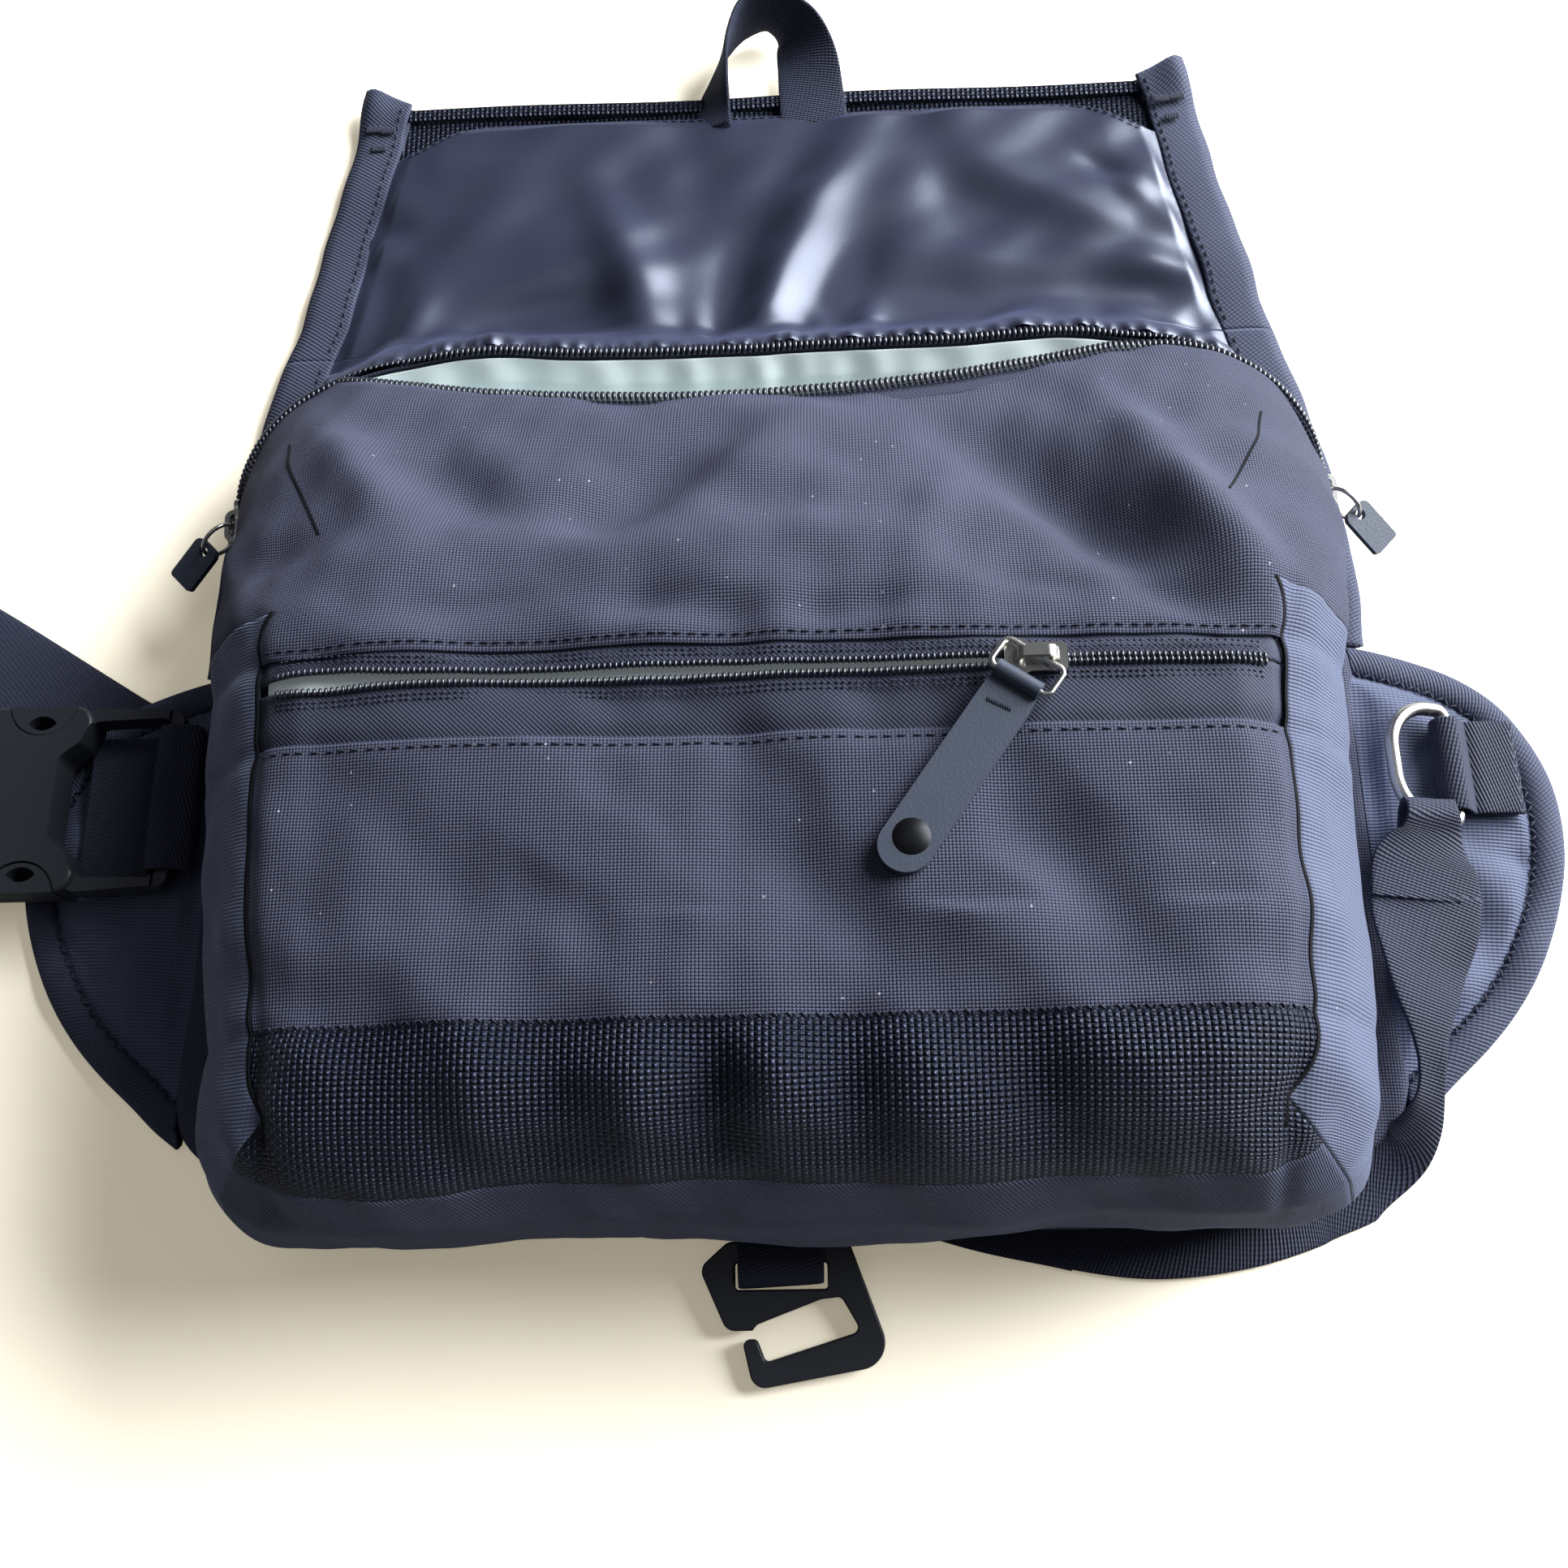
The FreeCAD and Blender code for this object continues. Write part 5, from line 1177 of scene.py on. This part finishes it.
def weave_inside(tree, given, result):
    """Plain or basket weave: two crossing rows of rounded threads that go over and under in turn."""
    do = partial(maths, tree)
    x, y, _ = node_with(tree, "SeparateXYZ", Vector=given["Vector"]).outputs
    u, v = do("DIVIDE", x, given["Thread U"]), do("DIVIDE", y, given["Thread V"])
    odd = do("ABSOLUTE", do("MODULO", do("ADD", do("FLOOR", u), do("FLOOR", v)), 2.0))
    across = do("ABSOLUTE", do("SINE", do("MULTIPLY", u, math.pi)))
    along = do("ABSOLUTE", do("SINE", do("MULTIPLY", v, math.pi)))
    warp = do("MULTIPLY", do("POWER", along, 0.6), do("MULTIPLY_ADD", across, 0.45, 0.55))
    weft = do("MULTIPLY", do("POWER", across, 0.6), do("MULTIPLY_ADD", along, 0.45, 0.55))
    pick = do("MULTIPLY", odd, given["Balance"])
    high = do("ADD", do("MULTIPLY", warp, do("SUBTRACT", 1.0, pick)), do("MULTIPLY", weft, pick))
    tree.links.new(high, result["Height"])
    tree.links.new(odd, result["Turn"])


def ribs_inside(tree, given, result):
    """Twill or grosgrain: rounded ribs across the way given by the two slopes."""
    do = partial(maths, tree)
    x, y, _ = node_with(tree, "SeparateXYZ", Vector=given["Vector"]).outputs
    way = do("ADD", do("MULTIPLY", x, given["Along"]), do("MULTIPLY", y, given["Across"]))
    rib = do("POWER", do("ABSOLUTE", do("SINE", do("MULTIPLY", way, math.pi))), 0.7)
    cross = do("SUBTRACT", do("MULTIPLY", y, given["Along"]), do("MULTIPLY", x, given["Across"]))
    fine = do("ABSOLUTE", do("SINE", do("MULTIPLY", cross, 2.2)))
    tree.links.new(do("MULTIPLY", rib, do("MULTIPLY_ADD", fine, 0.3, 0.7)), result["Height"])


def wear_inside(tree, given, result):
    """Soft uneven tone, and fine pale dust specks as the closest cells of a sparse cell pattern."""
    do = partial(maths, tree)
    vector = given["Vector"]
    tone, fibre = noise(tree, vector, 22.0, 4.0, 0.55), noise(tree, vector, 900.0, 2.0, 0.6)
    tree.links.new(do("ADD", do("MULTIPLY", tone, 0.75), do("MULTIPLY", fibre, 0.25)), result["Tone"])
    cells = node_with(tree, "TexVoronoi", Scale=260.0, Vector=vector).outputs
    near = do("LESS_THAN", cells["Distance"], 0.085)
    some = do("GREATER_THAN", node_with(tree, "SeparateXYZ", Vector=cells["Color"]).outputs[0], 0.72)
    patchy = do("GREATER_THAN", noise(tree, vector, 45.0, 2.0), 0.5)
    tree.links.new(do("MULTIPLY", do("MULTIPLY", near, some), patchy), result["Dust"])


def srgb(r, g, b):
    """8-bit display colour as a linear one."""
    c = np.array([r, g, b]) / 255
    c = np.where(c <= 0.04045, c / 12.92, ((c + 0.055) / 1.055) ** 2.4)
    return (*c.tolist(), 1.0)


def scaled(colour, k):
    """A colour times k."""
    return (*(min(1.0, c * k) for c in colour[:3]), 1.0)


def surface(name, rough, spec):
    """New material, its tree and the inputs of its shader, with roughness and specular level set."""
    mat = bpy.data.materials.new(name)
    mat.use_nodes = True
    tree = mat.node_tree
    shader = tree.nodes["Principled BSDF"].inputs
    shader["Roughness"].default_value = rough
    shader["Specular IOR Level"].default_value = spec
    return mat, tree, shader


def group_outputs(tree, group, vector, **values):
    """Outputs of a shared group placed in a tree."""
    node = tree.nodes.new("ShaderNodeGroup")
    node.node_tree = bpy.data.node_groups[group]
    for label, value in {"Vector": vector, **values}.items():
        feed(tree, node.inputs[label.replace("_", " ")], value)
    return node.outputs


def cloth_material(name, colour, pattern, values, bump, rough, sheen, contrast, dust=0.0, spec=0.25,
                   glint=0.0, tint=(1.0, 1.0, 1.0, 1.0), crossing_shade=1.0, painted_glow=0.0):
    """Cloth finish with sheen; the weave paints shade into the colour between the threads, and sets the
    roughness and the surface.

    The threads that cross are darkened to a share of the colour, as painted shade on the threads that catch
    no glint. A painted glow, emission on cloth that is no lamp, adds painted light."""
    mat, tree, shader = surface(name, rough, spec)
    place = tree.nodes.new("ShaderNodeTexCoord").outputs
    weave = group_outputs(tree, pattern, place["UV"], **values)
    wear = group_outputs(tree, "Wear", place["Object"])
    base = blended(tree, wear["Tone"], scaled(colour, 1 - contrast), scaled(colour, 1 + contrast))
    # painted shade: the colour darkens to half where the weave is low, in the hollows between the threads
    base = blended(tree, weave["Height"], darkened(tree, base, 0.5), base)
    # painted shade: the crossing threads darken to a share of their colour, so that only the others look lit
    if crossing_shade < 1:
        base = blended(tree, weave["Turn"], darkened(tree, base, crossing_shade), base)
        shine = maths(tree, "MULTIPLY", maths(tree, "POWER", weave["Height"], 2.5), weave["Turn"])
        tree.links.new(maths(tree, "MULTIPLY_ADD", shine, -glint, rough), shader["Roughness"])
    if dust:
        base = blended(tree, maths(tree, "MULTIPLY", wear["Dust"], dust), base, (0.55, 0.56, 0.6, 1.0))
    tree.links.new(base, shader["Base Color"])
    # painted light: the emission strength makes this cloth glow though it is no lamp
    for label, value in (("Specular Tint", tint), ("Emission Color", colour), ("Emission Strength", painted_glow),
                         ("Sheen Weight", sheen), ("Sheen Roughness", 0.4),
                         ("Sheen Tint", scaled(colour, 5))):
        shader[label].default_value = value
    bumps = node_with(tree, "Bump", Strength=bump[0], Distance=bump[1], Height=weave["Height"])
    tree.links.new(bumps.outputs[0], shader["Normal"])
    return mat


def hard_material(name, colour, metallic, rough, grain, scale, spec):
    """Moulded or metal finish with a fine grain and slightly uneven gloss."""
    mat, tree, shader = surface(name, rough, spec)
    place = tree.nodes.new("ShaderNodeTexCoord").outputs["Object"]
    tone = group_outputs(tree, "Wear", place)["Tone"]
    tree.links.new(blended(tree, tone, scaled(colour, 0.85), scaled(colour, 1.15)), shader["Base Color"])
    tree.links.new(maths(tree, "MULTIPLY_ADD", tone, 0.16, rough - 0.08), shader["Roughness"])
    shader["Metallic"].default_value = metallic
    if grain:
        height = noise(tree, place, scale, 2.0)
        bumps = node_with(tree, "Bump", Strength=grain, Distance=0.0002, Height=height)
        tree.links.new(bumps.outputs[0], shader["Normal"])
    return mat


def threads(u, v, balance):
    """Values of the weave group: thread widths in metres, and how much the weft shows."""
    return "Weave", {"Thread_U": u, "Thread_V": v, "Balance": balance}


def ribs(along, across):
    """Values of the rib group: ribs per metre along and across the cloth."""
    return "Ribs", {"Along": along, "Across": across}


# key: name, display colour, pattern, bump strength and distance, roughness, sheen, contrast, what is special
CLOTHS = {
    "canvas": ("Canvas", (82, 85, 106), threads(0.00078, 0.00072, 0.55), 0.9, 0.0004, 0.75, 0.15, 0.16,
               {"dust": 1.0}),
    "ribbed": ("Ribbed canvas", (98, 105, 131), ribs(60.0, 1176.0), 0.7, 0.0004, 0.68, 0.4, 0.12,
               {"dust": 0.5}),
    # ballistic: its crossing threads carry painted shade, dimmed to a quarter
    "ballistic": ("Ballistic weave", (26, 29, 47), threads(0.00145, 0.00118, 1.0), 1.0, 0.0009, 0.64, 0.05,
                  0.12, {"spec": 0.55, "glint": 0.44, "tint": (0.66, 0.74, 1.0, 1.0), "crossing_shade": 0.25}),
    "satin": ("Satin lining", (56, 60, 81), threads(0.00035, 0.0003, 0.4), 0.12, 0.0002, 0.38, 0.3, 0.06,
              {"spec": 1.0, "tint": (0.8, 0.86, 1.0, 1.0)}),
    # pale: a little emission as painted light, to brighten the lining deep in the mouth
    "pale": ("Pale lining", (232, 244, 244), threads(0.0004, 0.0004, 0.5), 0.2, 0.0002, 0.7, 0.2, 0.05,
             {"painted_glow": 0.1}),
    "tape": ("Zip tape", (66, 70, 88), ribs(900.0, 900.0), 0.6, 0.0003, 0.75, 0.3, 0.12, {}),
    "twill": ("Twill binding", (78, 83, 104), ribs(960.0, 560.0), 0.7, 0.0004, 0.7, 0.35, 0.14, {}),
    "webbing": ("Webbing", (58, 62, 80), ribs(1250.0, 350.0), 0.8, 0.0005, 0.62, 0.3, 0.16, {}),
    "thread": ("Thread", (70, 73, 92), ribs(2600.0, 900.0), 0.3, 0.0001, 0.6, 0.3, 0.1, {}),
    # seam: dark bands that are partly the seam line and partly painted shade of the crease
    "seam": ("Seam shadow", (14, 15, 22), ribs(900.0, 300.0), 0.3, 0.0001, 0.9, 0.05, 0.1, {}),
}
# key: name, linear colour, metallic, roughness, grain strength and scale, specular level
SOLIDS = {
    "coil": ("Zip coil", srgb(40, 43, 56), 0.0, 0.25, 0.0, 900.0, 0.8),
    "plastic": ("Moulded plastic", srgb(44, 47, 54), 0.0, 0.42, 0.25, 2600.0, 0.5),
    "nickel": ("Nickel", (0.62, 0.61, 0.58, 1.0), 1.0, 0.26, 0.0, 900.0, 0.5),
    "leather": ("Coated leather", srgb(68, 75, 90), 0.0, 0.5, 0.35, 1500.0, 0.4),
    "rivet": ("Dark metal", srgb(30, 31, 34), 0.7, 0.4, 0.0, 900.0, 0.5),
}


def make_materials():
    """Every finish of the pack, from three shared groups."""
    settings = bpy.context.scene.waist_pack
    weave = {"Thread U": 0.0006, "Thread V": 0.0006, "Balance": 0.7}
    node_group("Weave", weave, ("Height", "Turn"), weave_inside)
    node_group("Ribs", {"Along": 800.0, "Across": 0.0}, ("Height",), ribs_inside)
    node_group("Wear", {}, ("Tone", "Dust"), wear_inside)
    mats = {}
    for key, (name, colour, pattern, deep, distance, rough, sheen, contrast, special) in CLOTHS.items():
        special = {**special, "dust": special.get("dust", 0) * settings.dust}
        bump = (deep * settings.weave_depth, distance)
        mats[key] = cloth_material(name, srgb(*colour), *pattern, bump, rough, sheen, contrast, **special)
    for key, values in SOLIDS.items():
        mats[key] = hard_material(*values)
    return mats


MATS = {}


def finishes():
    """The materials, made once."""
    if not MATS:
        MATS.update(make_materials())
    return MATS


# ---------------------------------------------------------------- hardware
def finish_hardware():
    """Gives the moulded, metal and leather pieces of the frame their finishes."""
    for look, nodes in (("plastic", ("g_hook", "buckle_female", "buckle_male", "prong_upper", "prong_lower")),
                        ("nickel", ("front_slider", "front_bail", "right_slider", "left_slider", "right_ring",
                                    "left_ring", "d_ring")),
                        ("leather", ("front_pull", "right_pull", "left_pull")),
                        ("rivet", ("front_pull_rivet",))):
        for node in nodes:
            painted(bpy.data.objects[node], look)


def tack_on_pull():
    """Bar tack across the leather near its fold: short stitches side by side in one row."""
    along, across = np.array([-0.479, -0.878, 0]), np.array([0.878, -0.479, 0])
    centres = np.array([49.4, -8.9, 74.05]) + np.outer(np.linspace(-2.6, 2.6, 11), across)
    obj = beads("Pull tack", centres, along + across * 0.25, UP, 1.3, 0.26)
    dress(obj, "thread", "front_pull", "leather")


# ---------------------------------------------------------------- stage
TABLE_HALF = 6.0         # metres from the middle of the table to its edges
TABLE_Z = -0.0003        # metres, just under the pack
CAMERA_PLACE = np.array([16.88, -140.0, 396.0])
CAMERA_PAN = -2.18       # degrees
CAMERA_ROLL = -1.51      # degrees
LENS = 37.73             # for a sensor 36 mm wide


def seen_by_camera(tree, others, camera):
    """Shader that shows the camera one thing and every other ray another."""
    path = tree.nodes.new("ShaderNodeLightPath")
    mix = tree.nodes.new("ShaderNodeMixShader")
    for socket, value in zip(mix.inputs, (path.outputs["Is Camera Ray"], others, camera)):
        tree.links.new(value, socket)
    return mix.outputs[0]


def make_table(settings):
    """Pale table: the camera sees it lifted, with a thin haze over its shadows; other rays don't."""
    half, z = TABLE_HALF, TABLE_Z
    mesh = bpy.data.meshes.new("Table")
    corners = [(-half, -half, z), (half, -half, z), (half, half, z), (-half, half, z)]
    mesh.from_pydata(corners, [], [(0, 1, 2, 3)])
    table = bpy.data.objects.new("Table", mesh)
    bpy.context.scene.collection.objects.link(table)
    mat, tree, shader = surface("Table", 0.6, 0.15)
    shader["Base Color"].default_value = (0.62, 0.60, 0.56, 1)
    lift = settings.table_lift
    seen = node_with(tree, "BsdfDiffuse", Color=(lift, lift * 0.93, lift * 0.78, 1))
    haze = node_with(tree, "Emission", Color=(1.0, 0.87, 0.62, 1), Strength=settings.table_haze)
    both = tree.nodes.new("ShaderNodeAddShader")
    tree.links.new(seen.outputs[0], both.inputs[0])
    tree.links.new(haze.outputs[0], both.inputs[1])
    plain = tree.nodes["Principled BSDF"].outputs[0]
    surface_in = tree.nodes["Material Output"].inputs["Surface"]
    tree.links.new(seen_by_camera(tree, plain, both.outputs[0]), surface_in)
    mesh.materials.append(mat)
    return table


def make_surroundings(settings):
    """White to the camera, and a faint bluish light for everything else."""
    world = bpy.data.worlds.new("Surroundings")
    world.use_nodes = True
    bpy.context.scene.world = world
    tree = world.node_tree
    faint = tree.nodes["Background"]
    faint.inputs["Color"].default_value = (0.86, 0.90, 1.0, 1)
    faint.inputs["Strength"].default_value = settings.sky
    white = node_with(tree, "Background", Color=(1, 1, 1, 1), Strength=1.0)
    shader = seen_by_camera(tree, faint.outputs[0], white.outputs[0])
    tree.links.new(shader, tree.nodes["World Output"].inputs["Surface"])


def placed(obj, right, up, back, place):
    """Links an object into the scene, turned by three axes, at a place in metres."""
    bpy.context.scene.collection.objects.link(obj)
    columns = np.stack([right, up, back, place], 1)
    obj.matrix_world = Matrix([*columns.tolist(), [0, 0, 0, 1]])


def make_lamps(settings):
    """Soft square lamps that face the pack."""
    lamps = []
    for name, place, power, size, tint in (
            ("Window", (1.30, 0.72, 0.70), settings.key_light, 1.35, (0.94, 0.97, 1.0)),
            ("Ceiling", (-0.25, 0.1, 1.5), settings.fill_light, 1.1, (0.95, 0.96, 1.0)),
            ("Front bounce", (0.2, -1.3, 0.7), settings.bounce_light, 1.0, (1.0, 0.96, 0.9))):
        lamp = bpy.data.lights.new(name, "AREA")
        lamp.energy = power
        lamp.size = size
        lamp.color = tint
        back = unit(np.array(place))
        right = unit(np.cross(UP, back))
        lamps.append(bpy.data.objects.new(name, lamp))
        placed(lamps[-1], right, np.cross(back, right), back, np.array(place))
    return lamps


def turned_towards(a, b, angle):
    """Two square axes turned together, a towards b."""
    c, s = math.cos(angle), math.sin(angle)
    return a * c + b * s, b * c - a * s


def make_camera(settings):
    """Camera nearly overhead: tilted from straight down, then panned and rolled by small angles."""
    tilt, pan, roll = (math.radians(angle) for angle in (settings.camera_tilt, CAMERA_PAN, CAMERA_ROLL))
    ahead = np.array([0, math.sin(tilt), -math.cos(tilt)])
    up = np.array([0, math.cos(tilt), math.sin(tilt)])
    right = np.array([1.0, 0, 0])
    ahead, right = turned_towards(ahead, right, pan)
    right, up = turned_towards(right, up, roll)
    data = bpy.data.cameras.new("Camera")
    data.sensor_width = 36.0
    data.lens = LENS
    data.clip_start = 0.01
    camera = bpy.data.objects.new("Camera", data)
    placed(camera, right, up, -ahead, CAMERA_PLACE * MM)
    bpy.context.scene.camera = camera


def make_stage():
    """White table and surroundings, soft light from the upper right, and the camera above the pack."""
    bpy.context.scene.view_settings.view_transform = "Standard"
    settings = bpy.context.scene.waist_pack
    table = make_table(settings)
    make_surroundings(settings)
    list(make_lamps(settings))
    make_camera(settings)


# ---------------------------------------------------------------- add-on
def number(name, description, default, **limits):
    """A setting that is a number from 0 up."""
    return bpy.props.FloatProperty(name=name, description=description, default=default, min=0, **limits)


class WaistPackSettings(bpy.types.PropertyGroup):
    """Sizes and strengths that the build reads."""
    dust: number("Dust", "Strength of the pale specks on the canvas", 0.6, max=1)
    weave_depth: number("Weave depth", "Share of the full weave relief", 1.0, max=2)
    table_lift: number("Table lift", "Brightness of the table as the camera sees it", 1.7, max=9)
    table_haze: number("Table haze", "Pale veil over the table's shadow", 0.27, max=1)
    sky: number("Surroundings", "Strength of the light from all round", 0.07, max=3)
    key_light: number("Window", "Power of the soft light from the upper right", 96.0, unit="POWER")
    fill_light: number("Ceiling", "Power of the light from above", 1.0, unit="POWER")
    bounce_light: number("Bounce", "Power of the light from the front", 0.1, unit="POWER")
    camera_tilt: number("Camera tilt", "Degrees away from straight down", 19.57, max=80)


class WAISTPACK_OT_pouch(bpy.types.Operator):
    """Builds the pouch's cloth panels"""
    bl_idname = "waist_pack.pouch"
    bl_label = "Pouch"

    def execute(self, context):
        make_panels()
        make_panel_sewing()
        make_seam_shade()
        return {"FINISHED"}


class WAISTPACK_OT_zips(bpy.types.Operator):
    """Builds both zips and the linings behind them"""
    bl_idname = "waist_pack.zips"
    bl_label = "Zips and linings"

    def execute(self, context):
        make_main_zip()
        make_pocket_zip()
        make_pocket_lining()
        make_compartment_lining()
        return {"FINISHED"}


class WAISTPACK_OT_flap(bpy.types.Operator):
    """Builds the flap with its lining, bindings and pull loop"""
    bl_idname = "waist_pack.flap"
    bl_label = "Flap"

    def execute(self, context):
        make_flap_linings()
        make_flap_outers()
        make_bindings()
        make_pull_loop()
        return {"FINISHED"}


class WAISTPACK_OT_wings(bpy.types.Operator):
    """Builds the back panel and the padded wings"""
    bl_idname = "waist_pack.wings"
    bl_label = "Back panel and wings"

    def execute(self, context):
        make_back_panel()
        make_wings()
        return {"FINISHED"}


class WAISTPACK_OT_webbing(bpy.types.Operator):
    """Builds the belt strap and the webbing loops"""
    bl_idname = "waist_pack.webbing"
    bl_label = "Webbing"

    def execute(self, context):
        make_straps()
        make_loops()
        return {"FINISHED"}


class WAISTPACK_OT_hardware(bpy.types.Operator):
    """Finishes the buckle, hook, ring, sliders and pulls"""
    bl_idname = "waist_pack.hardware"
    bl_label = "Hardware"

    def execute(self, context):
        finish_hardware()
        tack_on_pull()
        return {"FINISHED"}


class WAISTPACK_OT_stage(bpy.types.Operator):
    """Adds the table, light and camera"""
    bl_idname = "waist_pack.stage"
    bl_label = "Stage"

    def execute(self, context):
        make_stage()
        return {"FINISHED"}


OPERATORS = (WAISTPACK_OT_pouch, WAISTPACK_OT_zips, WAISTPACK_OT_flap, WAISTPACK_OT_wings,
             WAISTPACK_OT_webbing, WAISTPACK_OT_hardware, WAISTPACK_OT_stage)


class WAISTPACK_PT_panel(bpy.types.Panel):
    """Lists the steps of the build"""
    bl_idname = "WAISTPACK_PT_panel"
    bl_label = "Waist Pack"
    bl_space_type = "VIEW_3D"
    bl_region_type = "UI"
    bl_category = "Waist Pack"

    def draw(self, context):
        for operator in OPERATORS:
            self.layout.operator(operator.bl_idname)
        for name in WaistPackSettings.__annotations__:
            self.layout.prop(context.scene.waist_pack, name)


def register():
    """Adds the settings, the operators and the panel."""
    for cls in (WaistPackSettings, *OPERATORS, WAISTPACK_PT_panel):
        bpy.utils.register_class(cls)
    bpy.types.Scene.waist_pack = bpy.props.PointerProperty(type=WaistPackSettings)


def unregister():
    """Takes them out again."""
    del bpy.types.Scene.waist_pack
    for cls in (WAISTPACK_PT_panel, *reversed(OPERATORS), WaistPackSettings):
        bpy.utils.unregister_class(cls)


def main():
    """Builds everything."""
    register()
    for operator in OPERATORS:
        group, name = operator.bl_idname.split(".")
        if getattr(getattr(bpy.ops, group), name)() != {"FINISHED"}:
            raise RuntimeError(operator.bl_label + " did not finish")


if __name__ == "__main__":
    main()
